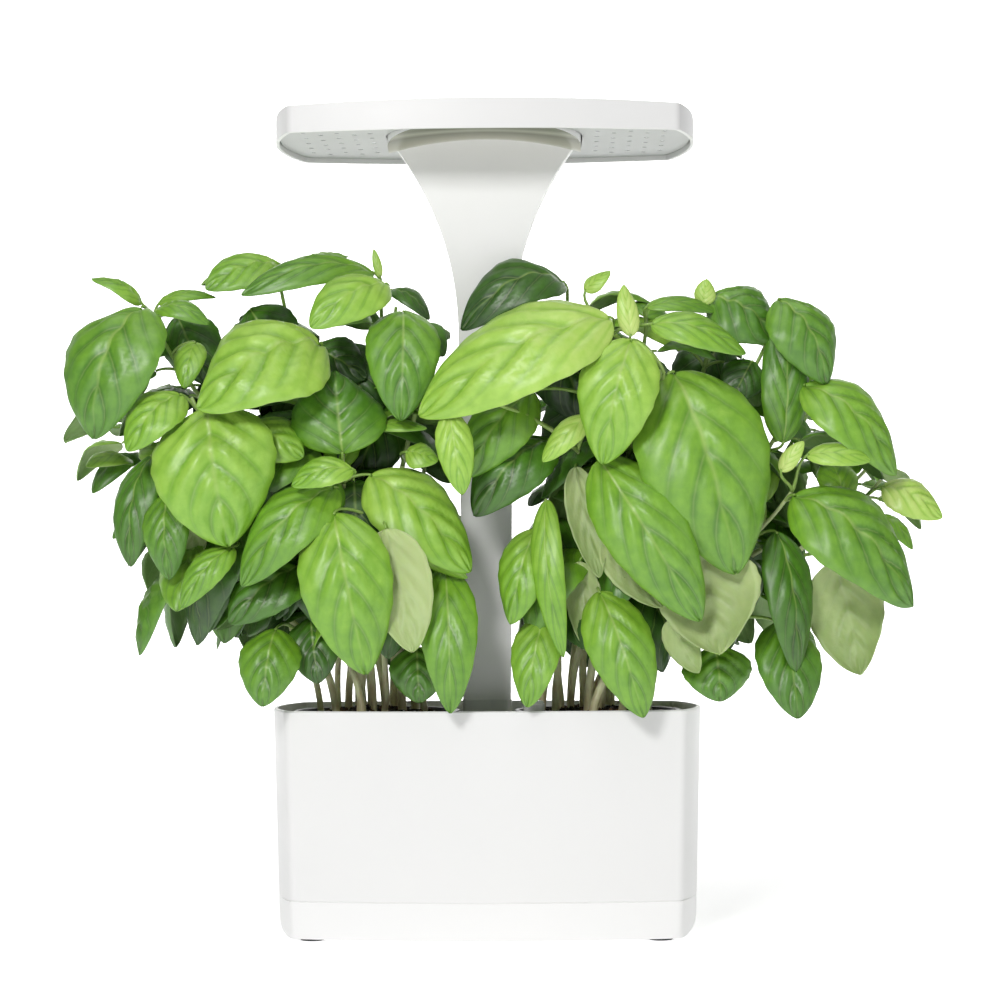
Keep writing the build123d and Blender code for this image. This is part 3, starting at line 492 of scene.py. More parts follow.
# %% Stem finish
stem_finish, stem_shader = finish("herb_stem", (0.45, 0.55, 0.25), 0.42)
stem_blade = node(stem_finish, "ShaderNodeAttribute", attribute_name="blade")
_, _, up_stem = parts_of(stem_finish, stem_blade.outputs["Vector"])
stem_mottle = math_node(stem_finish, "MULTIPLY", noise_pattern(stem_finish, 240.0, 3.0, (1, 1, 0.25)), 0.5)
stem_drift = math_node(stem_finish, "SUBTRACT", stem_mottle, 0.25)
stem_height = math_node(stem_finish, "ADD", up_stem, stem_drift)
stem_colours = [
    (0.0, (0.52, 0.46, 0.26)),
    (0.10, (0.68, 0.69, 0.42)),
    (0.4, (0.58, 0.66, 0.34)),
    (0.8, (0.34, 0.50, 0.13)),
    (1.0, (0.24, 0.42, 0.07)),
]
paint(stem_finish, stem_shader, stem_height, stem_colours)
bump(stem_finish, stem_shader, noise_pattern(stem_finish, 900.0, 2.0, (1, 1, 0.08)), 0.0002)
stem_shader.inputs["Subsurface Weight"].default_value = 0.2
stem_shader.inputs["Subsurface Radius"].default_value = (0.002, 0.003, 0.001)

# %% [markdown]
# ## Basil leaf, shape
# A leaf could be a flat card with a picture of a leaf, but it would look it from the side. Here each
# blade is a closed sheet of cells between two skins. Its spine is a curve from stalk to tip that arches
# up and then hangs, its outline is egg-shaped with a drawn-out tip, its edges roll down, and the surface
# swells between sunken veins.

# %% Leaf blade
skin = 0.00035  # thickness of a blade


def unit(vector):
    return vector / max(np.linalg.norm(vector), 1e-9)


def across_rows(vectors):
    return vectors / np.linalg.norm(vectors, axis=-1, keepdims=True)


def leaf_outline(along):
    """Half-width of an egg-shaped blade with a pointed tip, 1 at its widest."""
    return (along + 0.002) ** 0.50 * (1.003 - along) ** 0.66 / 0.463


def leaf_points(base, tip, facing, width, arch, roll_down, twist, swell, rows, cols):
    """The upper and lower skins' points in rows from stalk to tip, and their places on the blade."""
    even = np.linspace(0, 1, rows + 1)
    along = 0.5 * even + 0.25 * (1 - np.cos(math.pi * even))
    even = np.linspace(-1, 1, cols + 1)
    across = np.sign(even) * np.abs(even) ** 1.2
    length = np.linalg.norm(tip - base)
    straight = unit(tip - base)
    up = unit(facing - facing.dot(straight) * straight)
    crest = base + 0.42 * (tip - base) + up * 2.0 * arch * length
    s = along[:, None]
    spine = (1 - s) ** 2 * base + 2 * s * (1 - s) * crest + s**2 * tip
    heading_line = across_rows(2 * (1 - s) * (crest - base) + 2 * s * (tip - crest))
    lift = across_rows(up - (heading_line @ up)[:, None] * heading_line)
    sideways = np.cross(heading_line, lift)
    turned = (twist * (along - 0.25))[:, None]
    side_axis = np.cos(turned) * sideways + np.sin(turned) * lift
    lift_axis = np.cos(turned) * lift - np.sin(turned) * sideways
    half = 0.5 * width * leaf_outline(along)[:, None]
    ripple = 1 + 0.014 * np.sin(38 * along + 9 * twist)[:, None] * np.abs(across)[None, :] ** 6
    x = half * across[None, :] * ripple
    out = np.abs(across)[None, :]
    phase = vein_pairs * (s - vein_sweep * out**vein_bend)
    between = np.sin(math.pi * (phase - np.floor(phase))) ** 1.5
    ends_flat = np.sin(math.pi * np.clip(s, 0.02, 0.98)) ** 0.5
    swelling = swell * 0.08 * width * between * (1 - out**2.5) * ends_flat
    rib = -0.030 * width * np.exp(-((x / (0.05 * width)) ** 2)) * (1 - s) ** 0.5
    wave = 0.012 * width * np.sin(11 * s + 4 * across[None, :] + 7 * twist) * out**2
    edge = -roll_down * half * out**2.2 + wave
    folds = np.sin(13 * s + 4 * across[None, :] + 30 * twist) * np.sin(8 * across[None, :] - 6 * s)
    quilt = 0.014 * width * folds * (1 - out**4)
    z = swelling + rib + edge + quilt
    upper = spine[:, None, :] + side_axis[:, None, :] * x[..., None]
    upper = upper + lift_axis[:, None, :] * z[..., None]
    lower = upper - lift_axis[:, None, :] * skin
    places = np.stack(np.broadcast_arrays(s, across[None, :]), axis=-1)
    return upper, lower, places


print("outline at its widest", round(float(leaf_outline(np.array([0.44]))[0]), 3))


# %% [markdown]
# Leaves are gathered into one mesh for each group, because a thousand separate objects would be slow to
# handle. A sheaf collects points, faces, the three numbers for each point and the finish of each face.

# %% Sheaf of leaves
def grid_faces(rows, cols):
    """Faces of a closed sheet: upper skin, lower skin and the rim that joins them."""
    step, skin_size = cols + 1, (rows + 1) * (cols + 1)

    def at(i, j):
        return i * step + j

    upper = [
        (at(i, j), at(i, j + 1), at(i + 1, j + 1), at(i + 1, j)) for i in range(rows) for j in range(cols)
    ]
    lower = [tuple(skin_size + k for k in (face[0], *face[:0:-1])) for face in upper]
    around = [at(0, j) for j in range(cols)] + [at(i, cols) for i in range(rows)]
    around += [at(rows, j) for j in range(cols, 0, -1)] + [at(i, 0) for i in range(rows, 0, -1)]
    rim = [(b, a, a + skin_size, b + skin_size) for a, b in zip(around, around[1:] + around[:1])]
    return upper, lower, rim


def ring_faces(rings, around):
    """Faces between each given ring of points and the next one."""
    faces = []
    for i in rings:
        low, high = i * around, (i + 1) * around
        for j in range(around):
            beside = (j + 1) % around
            faces.append((low + j, low + beside, high + beside, high + j))
    return faces


class Sheaf:
    """A mesh in the making: its points, faces, blade numbers and the finish of each face."""

    def __init__(self):
        self.points, self.faces, self.blade, self.finish_index, self.count = [], [], [], [], 0

    def add(self, points, faces, blade, finish_index):
        offset = self.count
        self.points.append(points)
        self.blade.append(blade)
        self.faces += [tuple(k + offset for k in face) for face in faces]
        self.finish_index += finish_index
        self.count += len(points)

    def add_leaf(self, upper, lower, places, light):
        rows, cols = upper.shape[0] - 1, upper.shape[1] - 1
        top, bottom, rim = grid_faces(rows, cols)
        points = np.concatenate([upper.reshape(-1, 3), lower.reshape(-1, 3)])
        blade = np.concatenate([places.reshape(-1, 2)] * 2)
        blade = np.column_stack([blade, np.full(len(blade), light)])
        self.add(points, top + bottom + rim, blade, [0] * len(top) + [1] * len(bottom) + [1] * len(rim))

    def add_tube(self, path, radii, heights, sides=7):
        """A closed tube along a path, with its own radius and its own height on the stem at each point."""
        path = np.asarray(path, float)
        direction = across_rows(np.gradient(path, axis=0))
        guide = np.array([0.31, 0.95, 0.05])
        first = across_rows(np.cross(direction, guide))
        second = np.cross(direction, first)
        angle = np.linspace(0, 2 * math.pi, sides, endpoint=False)
        ring = np.cos(angle)[None, :, None] * first[:, None, :]
        ring = ring + np.sin(angle)[None, :, None] * second[:, None, :]
        points = (path[:, None, :] + ring * np.asarray(radii)[:, None, None]).reshape(-1, 3)
        count = len(path)
        faces = ring_faces(range(count - 1), sides)
        faces += [tuple(reversed(range(sides))), tuple(range((count - 1) * sides, count * sides))]
        blade = np.zeros((len(points), 3))
        blade[:, 2] = np.repeat(heights, sides)
        self.add(points, faces, blade, [2] * len(faces))

    def piece(self, name, body, slot, finishes):
        """Makes the sheaf one object that rides on a body."""
        mesh = bpy.data.meshes.new(name)
        mesh.from_pydata(np.concatenate(self.points).tolist(), [], self.faces)
        for material in finishes:
            mesh.materials.append(material)
        mesh.polygons.foreach_set("material_index", self.finish_index)
        store = mesh.attributes.new("blade", "FLOAT_VECTOR", "POINT")
        store.data.foreach_set("vector", np.concatenate(self.blade).astype(np.float32).ravel())
        mesh.shade_smooth()
        mesh.update()
        made = bpy.data.objects.new(name, mesh)
        bpy.context.scene.collection.objects.link(made)
        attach(made, body)
        print(name, len(mesh.polygons), "faces")
        return made


# %% [markdown]
# ## Room for the leaves
# The crown must leave room for the mast between the plants, stay under the lamp even when a pot is lifted
# out, stay off the other plant, and hang outside the planter's wall, not through it. A leaf that breaks
# one of these rules is left out. The sizes come from the frame.

# %% Room for the leaves
lift = {joint["name"]: joint["range_m"][1] for joint in frame["joints"]}
lamp_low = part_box("lamp_shell")[0].z
wall_x, wall_y, rim_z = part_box("outer_shell")[1]
crown_edge = Vector(cad_box[1])
flare_start, flare_radius, mast_half = 0.377, 0.200, 0.0172  # the neck's outline
mast_half_depth = 0.0095  # half the mast's thickness with a gap
clear = 0.002  # gap kept from the mast and the walls
overhang = 0.004  # how far a leaf may stand out of the frame's box


def mast_half_width(z):
    """Half the mast's width at each height, with its flare."""
    rise = np.clip((z - flare_start) / flare_radius, 0.0, 0.62)
    return mast_half + flare_radius * (1 - np.sqrt(1 - rise**2))


def has_room(points, side, reach_over=0.003):
    """True if points keep clear of the mast, lamp, other plant and planter, and inside the frame's box."""
    x, y, z = points[:, 0] * side, points[:, 1], points[:, 2]
    herb_lift = lift["left_herb_lift"]
    beside_mast = np.abs(y) < mast_half_depth
    hits_mast = (beside_mast & (np.abs(x) < mast_half_width(z + herb_lift) + clear)).any()
    over_middle = (x < -reach_over).any()
    under_lamp = (z > lamp_low - herb_lift - 0.003).any()
    out_of_box = (x > crown_edge.x + overhang).any() or (np.abs(y) > crown_edge.y + overhang).any()
    low = z < rim_z + 0.0015
    in_planter = (low & (np.abs(y) < wall_y + clear) & (x < wall_x + clear)).any()
    return not (hits_mast or over_middle or under_lamp or out_of_box or in_planter)


print("highest leaf allowed", round(lamp_low - lift["left_herb_lift"] - 0.003, 4))

# %% [markdown]
# ## Compost
# The compost is a plug that fills the pot, so it is turned like a lathe piece: the pot's inside below,
# and on top a loose crown. The top is pushed up and down by noise at three sizes, and crumbs of peat,
# bark and perlite lie on it.

# %% Compost finishes
soil_finish, soil_shader = finish("compost", (0.02, 0.014, 0.01), 0.95)
soil_tone = noise_pattern(soil_finish, 420.0, 6.0)
soil_colours = [(0.3, (0.007, 0.005, 0.004)), (0.52, (0.022, 0.014, 0.009)), (0.72, (0.075, 0.046, 0.026))]
paint(soil_finish, soil_shader, soil_tone, soil_colours)
bump(soil_finish, soil_shader, noise_pattern(soil_finish, 1100.0, 5.0), 0.0008)
bark_finish, bark_shader = finish("bark_crumb", (0.12, 0.06, 0.03), 0.9)
bark_colours = [(0.3, (0.035, 0.018, 0.01)), (0.7, (0.20, 0.11, 0.055))]
paint(bark_finish, bark_shader, noise_pattern(bark_finish, 600.0, 4.0), bark_colours)
bump(bark_finish, bark_shader, noise_pattern(bark_finish, 1500.0, 3.0), 0.0004)
perlite_finish, perlite_shader = finish("perlite_crumb", (0.7, 0.69, 0.66), 0.85)
perlite_colours = [(0.3, (0.5, 0.49, 0.46)), (0.7, (0.78, 0.77, 0.74))]
paint(perlite_finish, perlite_shader, noise_pattern(perlite_finish, 900.0, 3.0), perlite_colours)

# %% Compost
crumb_ball = bmesh.new()
bmesh.ops.create_icosphere(crumb_ball, subdivisions=2, radius=1.0)
ball_points = np.array([v.co for v in crumb_ball.verts])
ball_faces = [tuple(v.index for v in face.verts) for face in crumb_ball.faces]
crumb_ball.free()


def rough(place, size):
    """Noise between about -1 and 1 for a point in metres."""
    return noise.noise(Vector(place) / size)


crumbs = 260  # for each pot


def compost(side_name, centre_x, seed):
    """Builds one pot's compost inside its CAD plug and gives back the height of its brim."""
    draw = np.random.default_rng(seed)
    plug = np.array([v.co for v in frame["nodes"][f"{side_name}_soil"].data.vertices])
    low, high = plug[:, 2].min(), plug[:, 2].max()
    radius = np.hypot(plug[:, 0] - centre_x, plug[:, 1])
    foot_radius, brim_radius = radius[plug[:, 2] < low + 0.001].max(), radius.max()
    brim = plug[radius > brim_radius - 0.0005][:, 2].max()
    around, rings, sides = 96, 30, 8
    profile = [(foot_radius * t, low) for t in (0.0, 0.5, 1.0)]
    for t in np.linspace(0, 1, sides)[1:]:
        profile.append((foot_radius + (brim_radius - foot_radius) * t, low + (brim - low) * t))
    for t in np.linspace(0, 1, rings)[1:-1]:
        profile.append((brim_radius * (1 - t), brim + (high - brim) * (1 - (1 - t) ** 2)))
    points = []
    for r, z in profile:
        for a in np.linspace(0, 2 * math.pi, around, endpoint=False):
            x, y = centre_x + r * math.cos(a), r * math.sin(a)
            crown = min(max((brim_radius - 0.001 - r) / 0.004, 0.0), 1.0) if z > brim - 1e-6 else 0.0
            lump = 0.0016 * rough((x, y, seed), 0.011) + 0.0011 * rough((x, y, seed + 5), 0.004)
            points.append((x, y, z + crown * (lump + 0.0005 * rough((x, y, seed), 0.0016))))
    faces = ring_faces(range(1, len(profile) - 1), around)
    faces += [(0, around + (j + 1) % around, around + j) for j in range(around)]
    last = (len(profile) - 1) * around
    points = points[:1] + points[around:]  # one point at the middle of the bottom, not a ring of them
    shift = around - 1
    faces = [tuple(max(k - shift, 0) for k in face) for face in faces]
    points.append((centre_x, 0.0, high))
    faces += [(last - shift + j, last - shift + (j + 1) % around, len(points) - 1) for j in range(around)]
    heap = Sheaf()
    heap.add(np.array(points), faces, np.zeros((len(points), 3)), [0] * len(faces))
    for _ in range(crumbs):
        r, a = brim_radius * 0.95 * draw.random() ** 0.5, draw.uniform(0, 2 * math.pi)
        size = draw.uniform(0.0006, 0.0017)
        stretch = draw.uniform(0.6, 1.4, 3)
        t = 1 - r / brim_radius
        height = brim + (high - brim) * (1 - (1 - t) ** 2)
        place = np.array((centre_x + r * math.cos(a), r * math.sin(a), height))
        place[2] += size * draw.uniform(-0.1, 0.6)
        own = Vector((seed, a, 0))
        knobs = np.array([1 + 0.35 * noise.noise(Vector(p) * 1.7 + own) for p in ball_points])
        kind = 2 if draw.random() < 0.10 else 1 if draw.random() < 0.45 else 0
        shape = ball_points * knobs[:, None] * stretch * size
        heap.add(shape + place, ball_faces, np.zeros((len(shape), 3)), [kind] * len(ball_faces))
    kinds = [soil_finish, bark_finish, perlite_finish]
    made = heap.piece(f"{side_name}_compost", f"{side_name}_herb", "soil", kinds)
    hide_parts(f"{side_name}_soil")
    return brim


pot_x = (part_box("right_pot")[0].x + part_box("right_pot")[1].x) / 2
soil_z = compost("left", -pot_x, 11)
compost("right", pot_x, 23)
print("compost level", round(float(soil_z), 4))


# %% [markdown]
# ## Stems
# A supermarket pot holds a dozen or more seedlings, so each plant is a bunch of thin stems that rise
# together and then lean apart. Each stem is a curve from its place in the compost to its own shoot tip,
# with a slight wobble.

# %% Stem curves
def mm(*values):
    return np.array(values, float) / 1000.0


def curve(start, first, second, end, count):
    """Points on a smooth curve with two guide points."""
    t = np.linspace(0, 1, count)[:, None]
    return (1 - t) ** 3 * start + 3 * t * (1 - t) ** 2 * first + 3 * t**2 * (1 - t) * second + t**3 * end


seeds_in_pot, sown_radius, golden_angle = 18, 0.037, 2.4


def stem_curve(centre_x, tip, order, draw):
    """A stem that starts at its own seed's place in the pot, a golden angle on from the last."""
    start_radius = sown_radius * math.sqrt((order + 0.5) / seeds_in_pot)
    turn = golden_angle * order + draw.uniform(-0.2, 0.2)
    start_x = centre_x + start_radius * math.cos(turn)
    start = np.array((start_x, start_radius * math.sin(turn), soil_z - 0.004))
    rise = tip[2] - start[2]
    first = start + (0.0, 0.0, 0.42 * rise)
    second = tip - 0.38 * (tip - start) * (0.75, 0.75, 1.0)
    path = curve(start, first, second, tip, 30)
    seed = draw.uniform(0, 50)
    for point in path[3:-1]:
        point[:2] += 0.0022 * np.array((rough((point[2], seed, 0), 0.05), rough((point[2], seed, 9), 0.05)))
    return path


left_tips = [
    (-212, -28, 392), (-200, 35, 385), (-132, -6, 420), (-66, -14, 410), (-60, 45, 400), (-104, -48, 366),
    (-150, 55, 398), (-34, -32, 378), (-180, -58, 334), (-86, -66, 300), (-60, -70, 262), (-38, 60, 335),
    (-225, 30, 300), (-246, 70, 330), (-115, 80, 362), (-190, 84, 296), (-120, 20, 300), (-205, -30, 300),
]
right_tips = [
    (52, -16, 404), (78, -62, 370), (100, -50, 388), (146, -36, 392), (184, -48, 386), (198, -50, 345),
    (188, -62, 274), (110, -74, 346), (58, -52, 300), (34, -52, 250), (246, -34, 282), (150, 55, 395),
    (60, 50, 398), (220, 60, 350), (110, 80, 350), (254, 45, 300), (196, 84, 290), (130, 20, 300),
]
stems = {
    name: [stem_curve(centre, mm(*tip), order, draw) for order, tip in enumerate(tips)]
    for name, centre, tips, draw in (
        ("left", -pot_x, left_tips, np.random.default_rng(3)),
        ("right", pot_x, right_tips, np.random.default_rng(4)),
    )
}
print("stems", {name: len(paths) for name, paths in stems.items()})

# %% [markdown]
# ## Leaves in front
# The big leaves that give each plant its face are placed one by one: where the blade starts, where its
# tip hangs, its width, which way its upper side faces, how much it arches and how light it is. A leaf that
# faces to the back shows its pale underside.

# %% Leaves placed one by one
# the last number, how light a leaf is, holds its own tone and painted light: high for leaves that show a
# broad sheen, low for leaves deep in the crown as painted shade
left_leaves = [
    # the shoot at the outer top
    ((-215, -30, 395), (-245, -40, 410), 16, (0, -4, 9), 0.18, 0.60),
    ((-212, -45, 392), (-238, -70, 308), 52, (-4, -8, 4), 0.22, 0.42),
    ((-218, -20, 385), (-262, -38, 308), 36, (8, 6, 3), 0.20, 0.55),
    ((-205, -30, 395), (-170, -20, 400), 14, (0, -3, 9), 0.15, 0.55),
    ((-205, -40, 390), (-170, -50, 380), 16, (1, -5, 8), 0.22, 0.50),
    ((-180, -40, 370), (-185, -55, 340), 18, (-1, -8, 4), 0.15, 0.65),
    # the top of the crown
    ((-130, -10, 422), (-175, -30, 404), 28, (-1, -5, 8), 0.14, 0.60),
    ((-70, -20, 415), (-150, -50, 398), 24, (0, -5, 8), 0.16, 0.45),
    ((-60, -45, 405), (-105, -75, 375), 28, (0, -7, 6), 0.18, 0.70),
    ((-60, -10, 405), (-35, -20, 385), 16, (2, -4, 8), 0.20, 0.20),
    ((-40, -30, 382), (-25, -40, 360), 18, (1, -8, 4), 0.15, 0.30),
    ((-50, -45, 388), (-50, -75, 318), 36, (1, -9, 2), 0.20, 0.44),
    ((-110, -10, 368), (-75, -20, 348), 28, (0, -8, 4), 0.15, 0.12),
    ((-66, -20, 412), (-70, -20, 430), 5, (0, -9, 2), 0.05, 0.80),
    # the broad leaves in the middle
    ((-100, -50, 368), (-172, -88, 325), 60, (-2, -8, 6), 0.20, 0.74),
    ((-168, -70, 328), (-154, -84, 242), 60, (-1, -9, 3), 0.16, 0.66),
    ((-186, -60, 336), (-216, -80, 300), 28, (-3, -8, 4), 0.20, 0.65),
    ((-86, -70, 298), (-92, -55, 350), 46, (0, -9, 3), 0.10, 0.35),
    ((-146, -60, 316), (-110, -70, 296), 28, (1, -7, 6), 0.15, 0.70),
    ((-66, -55, 316), (-35, -60, 314), 12, (0, -4, 8), 0.10, 0.60),
    ((-48, -58, 300), (-28, -62, 294), 18, (1, -7, 6), 0.12, 0.70),
    ((-90, -70, 278), (-145, -91, 218), 34, (-3, -8, 5), 0.20, 0.50),
    ((-90, -60, 282), (-116, -75, 254), 28, (-2, -7, 5), 0.20, 0.35),
    ((-78, -86, 288), (-115, -91, 278), 20, (0, -6, 7), 0.20, 0.65),
    # the lower outside
    ((-208, -35, 300), (-218, -55, 230), 24, (-5, -7, 2), 0.15, 0.30),
    ((-195, -55, 275), (-192, -70, 222), 24, (-2, -8, 3), 0.15, 0.40),
    ((-180, -45, 262), (-185, -50, 226), 20, (3, 7, 2), 0.10, 0.85),
    ((-152, -75, 242), (-182, -86, 205), 20, (-3, -8, 4), 0.18, 0.55),
    ((-110, -50, 230), (-155, -70, 195), 32, (-3, -8, 4), 0.20, 0.30),
    # the lower middle, down to the rim
    ((-70, -62, 286), (-8, -74, 226), 42, (3, -8, 6), 0.14, 0.70),
    ((-54, -66, 252), (-10, -70, 222), 14, (-2, -6, -4), 0.10, 0.75),
    ((-90, -88, 262), (-70, -98, 165), 44, (0, -9, 2), 0.16, 0.58),
    ((-58, -92, 252), (-42, -98, 178), 32, (0, 8, 2), 0.08, 1.0),
    ((-44, -52, 242), (-32, -56, 196), 24, (2, -8, 1), 0.10, 0.45),
    ((-24, -60, 228), (-20, -88, 141), 28, (1, -9, 1), 0.16, 0.50),
    ((-128, -60, 192), (-134, -82, 145), 30, (-1, -9, 1), 0.15, 0.45),
    ((-108, -45, 198), (-102, -60, 158), 26, (0, -9, 2), 0.12, 0.20),
    ((-42, -50, 180), (-40, -62, 146), 28, (0, -9, 2), 0.12, 0.30),
    # leaves deep in the crown, made dark as painted shade
    ((-150, -6, 394), (-122, -14, 350), 34, (-1, -8, 3), 0.16, 0.16),
    ((-196, -8, 390), (-172, -16, 344), 30, (-2, -8, 3), 0.16, 0.22),
    ((-96, -4, 372), (-70, -14, 322), 34, (1, -8, 3), 0.16, 0.12),
    ((-60, -8, 330), (-84, -18, 276), 32, (-1, -8, 3), 0.16, 0.12),
]
right_leaves = [
    # the inner top, in front of the mast
    ((50, -20, 408), (-14, -45, 376), 32, (0, -6, 7), 0.30, 0.15),
    ((78, -79, 380), (-38, -87, 320), 52, (-2, -7, 7), 0.13, 0.80),
    ((30, -50, 338), (-10, -60, 284), 32, (-2, -8, 4), 0.20, 0.50),
    ((-20, -90, 322), (-12, -96, 272), 20, (0, -9, 2), 0.10, 0.75),
    ((42, -40, 308), (-6, -60, 260), 34, (-3, -8, 5), 0.22, 0.25),
    ((64, -80, 320), (36, -86, 292), 16, (-2, -8, 5), 0.12, 0.85),
    ((90, -86, 366), (72, -95, 290), 38, (-1, -9, 3), 0.20, 0.70),
    ((90, -80, 368), (86, -75, 400), 12, (0, -9, 2), 0.08, 0.95),
    ((62, -60, 398), (78, -62, 410), 12, (0, -6, 7), 0.10, 0.80),
    # the top of the crown
    ((100, -60, 388), (144, -50, 386), 14, (0, -4, 8), 0.12, 0.50),
    ((102, -75, 376), (160, -70, 358), 22, (1, -6, 7), 0.16, 0.60),
    ((140, -40, 396), (182, -48, 368), 38, (2, -7, 6), 0.20, 0.34),
    ((182, -50, 394), (210, -60, 340), 36, (4, -7, 4), 0.20, 0.38),
    ((184, -55, 304), (184, -45, 390), 24, (3, -9, 1), 0.10, 0.35),
    ((136, -50, 390), (138, -50, 406), 12, (0, -8, 4), 0.05, 0.90),
    # the broad leaves in the middle
    ((116, -68, 348), (152, -84, 224), 64, (1, -9, 4), 0.16, 0.52),
    ((166, -45, 356), (152, -50, 330), 22, (1, -8, 4), 0.12, 0.15),
    ((92, -55, 340), (104, -60, 314), 24, (0, -8, 4), 0.10, 0.20),
    ((70, -80, 294), (130, -94, 196), 40, (-2, -9, 4), 0.14, 0.50),
    ((56, -60, 290), (70, -75, 222), 20, (-1, 8, 2), 0.10, 0.90),
    ((74, -70, 246), (108, -83, 204), 22, (-2, 8, 3), 0.10, 0.90),
    ((132, -75, 242), (142, -88, 176), 50, (0, 8, 3), 0.14, 0.95),
    # the inner lower leaves
    ((38, -65, 270), (48, -80, 174), 18, (-4, -8, 1), 0.12, 0.60),
    ((58, -60, 232), (64, -75, 176), 20, (0, 8, 2), 0.10, 0.90),
    ((32, -60, 252), (16, -75, 194), 26, (-3, -9, 2), 0.15, 0.60),
    ((36, -60, 198), (26, -80, 144), 24, (-2, -9, 2), 0.12, 0.60),
    ((70, -70, 214), (96, -86, 138), 32, (1, -9, 2), 0.14, 0.55),
    ((32, -68, 238), (38, -70, 250), 10, (0, -8, 5), 0.08, 0.90),
    # the outside
    ((180, -50, 250), (190, -65, 164), 26, (4, -8, 1), 0.12, 0.25),
    ((196, -55, 340), (252, -60, 284), 36, (3, -7, 6), 0.20, 0.55),
    ((188, -70, 272), (258, -83, 204), 48, (3, -8, 6), 0.20, 0.45),
    ((246, -40, 278), (282, -45, 258), 24, (1, -6, 7), 0.15, 0.90),
    ((216, -45, 232), (230, -55, 162), 38, (2, 8, 2), 0.12, 0.90),
    ((182, -40, 194), (190, -70, 136), 32, (2, -9, 1), 0.12, 0.35),
    ((142, -45, 180), (144, -60, 146), 34, (0, -9, 2), 0.12, 0.40),
    ((196, -75, 296), (234, -80, 292), 16, (0, -6, 7), 0.12, 0.75),
    ((112, -65, 196), (130, -72, 164), 18, (0, 8, 2), 0.10, 0.90),
    ((180, -75, 286), (194, -78, 304), 10, (0, -8, 5), 0.08, 0.95),
    # leaves deep in the crown, made dark as painted shade
    ((38, -14, 378), (64, -24, 318), 38, (1, -8, 3), 0.16, 0.10),
    ((70, -10, 340), (40, -22, 288), 34, (-1, -8, 3), 0.16, 0.08),
    ((150, -8, 372), (124, -18, 320), 34, (-1, -8, 3), 0.16, 0.14),
]
print("placed by hand", len(left_leaves), len(right_leaves))

# %% [markdown]
# Each leaf needs a stalk to a stem. The stalk leaves the nearest stem below the leaf that it can reach
# without passing through the mast, bends up, and runs into the blade's midrib.


# %% Stalks
def stalk(sheaf, name, base, into, side):
    """A stalk from the nearest stem to a blade's base, where the blade points along into."""
    choices = []
    for path in stems[name]:
        reach = np.linalg.norm(path - base, axis=1) + 2.0 * np.maximum(path[:, 2] - base[2] + 0.006, 0)
        reach[:6] += 1.0
        k = int(reach.argmin())
        choices.append((reach[k], k, path))
    for _, k, path in sorted(choices, key=lambda c: c[0]):
        start = path[k]
        gap = np.linalg.norm(base - start)
        up_stem = unit(path[min(k + 1, len(path) - 1)] - path[k - 1])
        first = start + 0.35 * gap * unit(up_stem + 1.2 * unit(base - start))
        second = base - 0.35 * gap * unit(into + 0.4 * unit(base - start))
        line = curve(start, first, second, base + 0.0015 * into, 10)
        if has_room(line, side, 0.05):
            thick = 0.0008 + min(gap, 0.08) * 0.008
            sheaf.add_tube(line, np.linspace(thick * 1.25, 0.00085, 10), np.linspace(0.75, 0.95, 10), 6)
            return


# %% Front leaves
large_leaf = 20  # mm: a listed width above this counts as large
fine_grid_from = 22  # mm: a finished width above this gets a finer mesh
large_gain, small_gain = 1.3, 1.15
forward = (0, 3, 0)  # turns a blade's face a little more to the front or the back


def front_sheaf(name, leaves, side, seed, reach_over):
    """One plant's listed leaves with their stalks, and the points of their upper skins."""
    draw = np.random.default_rng(seed)
    sheaf, kept = Sheaf(), []
    for base, tip, width, facing, arch, light in leaves:
        traits = draw.uniform(0.15, 0.35), draw.uniform(-0.35, 0.35), draw.uniform(0.55, 0.95)
        start, end = mm(*base), mm(*tip)
        width *= large_gain if width > large_leaf else small_gain
        facing = unit(np.array(facing, float) + math.copysign(1, facing[1]) * np.array(forward))
        grid = (36, 16) if width > fine_grid_from else (24, 10)
        upper, lower, places = leaf_points(start, end, facing, width / 1000, arch, *traits, *grid)
        if not has_room(np.concatenate([upper.reshape(-1, 3), lower.reshape(-1, 3)]), side, reach_over):
            print(name, "front leaf left out", base, tip)
            continue
        sheaf.add_leaf(upper, lower, places, light)
        kept.append(upper.reshape(-1, 3))
        into = unit(upper[2].mean(axis=0) - upper[0].mean(axis=0))
        stalk(sheaf, name, start, into, side)
    return sheaf, np.concatenate(kept)


front = {
    "left": front_sheaf("left", left_leaves, -1, 31, 0.0),
    "right": front_sheaf("right", right_leaves, 1, 32, 0.06),
}


# %% [markdown]
# ## Leaves inside and behind
# Basil sets its leaves in opposite pairs, each pair turned a quarter from the one below. The rest of both
# crowns follows that rule along every stem, with seeded chance for length, droop and tone; leaves further
# back in the crown are made darker as painted shade, and young ones lighter. A leaf that would hang in front
# of a listed one is left out, and so is a left one that would brush the right plant's front leaves while its
# pot is lifted.

# %% Front layer map
cell = 0.008
front_depth = {}
for sheaf, points in front.values():
    for x, y, z in points:
        key = (int(x // cell), int(z // cell))
        front_depth[key] = min(front_depth.get(key, 1.0), y)


def filled_cells(points, size=0.005):
    """The small cubes of space that hold at least one of the points."""
    return set(map(tuple, np.floor(points / size).astype(int)))


right_front_cells = filled_cells(front["right"][1])


def lifts_clear(points, side):
    """True if a left leaf passes the right plant's front leaves while its own plant is lifted out."""
    heights = np.linspace(0.25, 1.0, 4) * lift["left_herb_lift"] if side < 0 else ()
    return not any(filled_cells(points + (0, 0, height)) & right_front_cells for height in heights)


def hides_front(points):
    """True if some of the points lie in front of the listed leaves."""
    ahead = sum(y < front_depth.get((int(x // cell), int(z // cell)), -1.0) + 0.004 for x, y, z in points)
    return ahead > 0.03 * len(points)


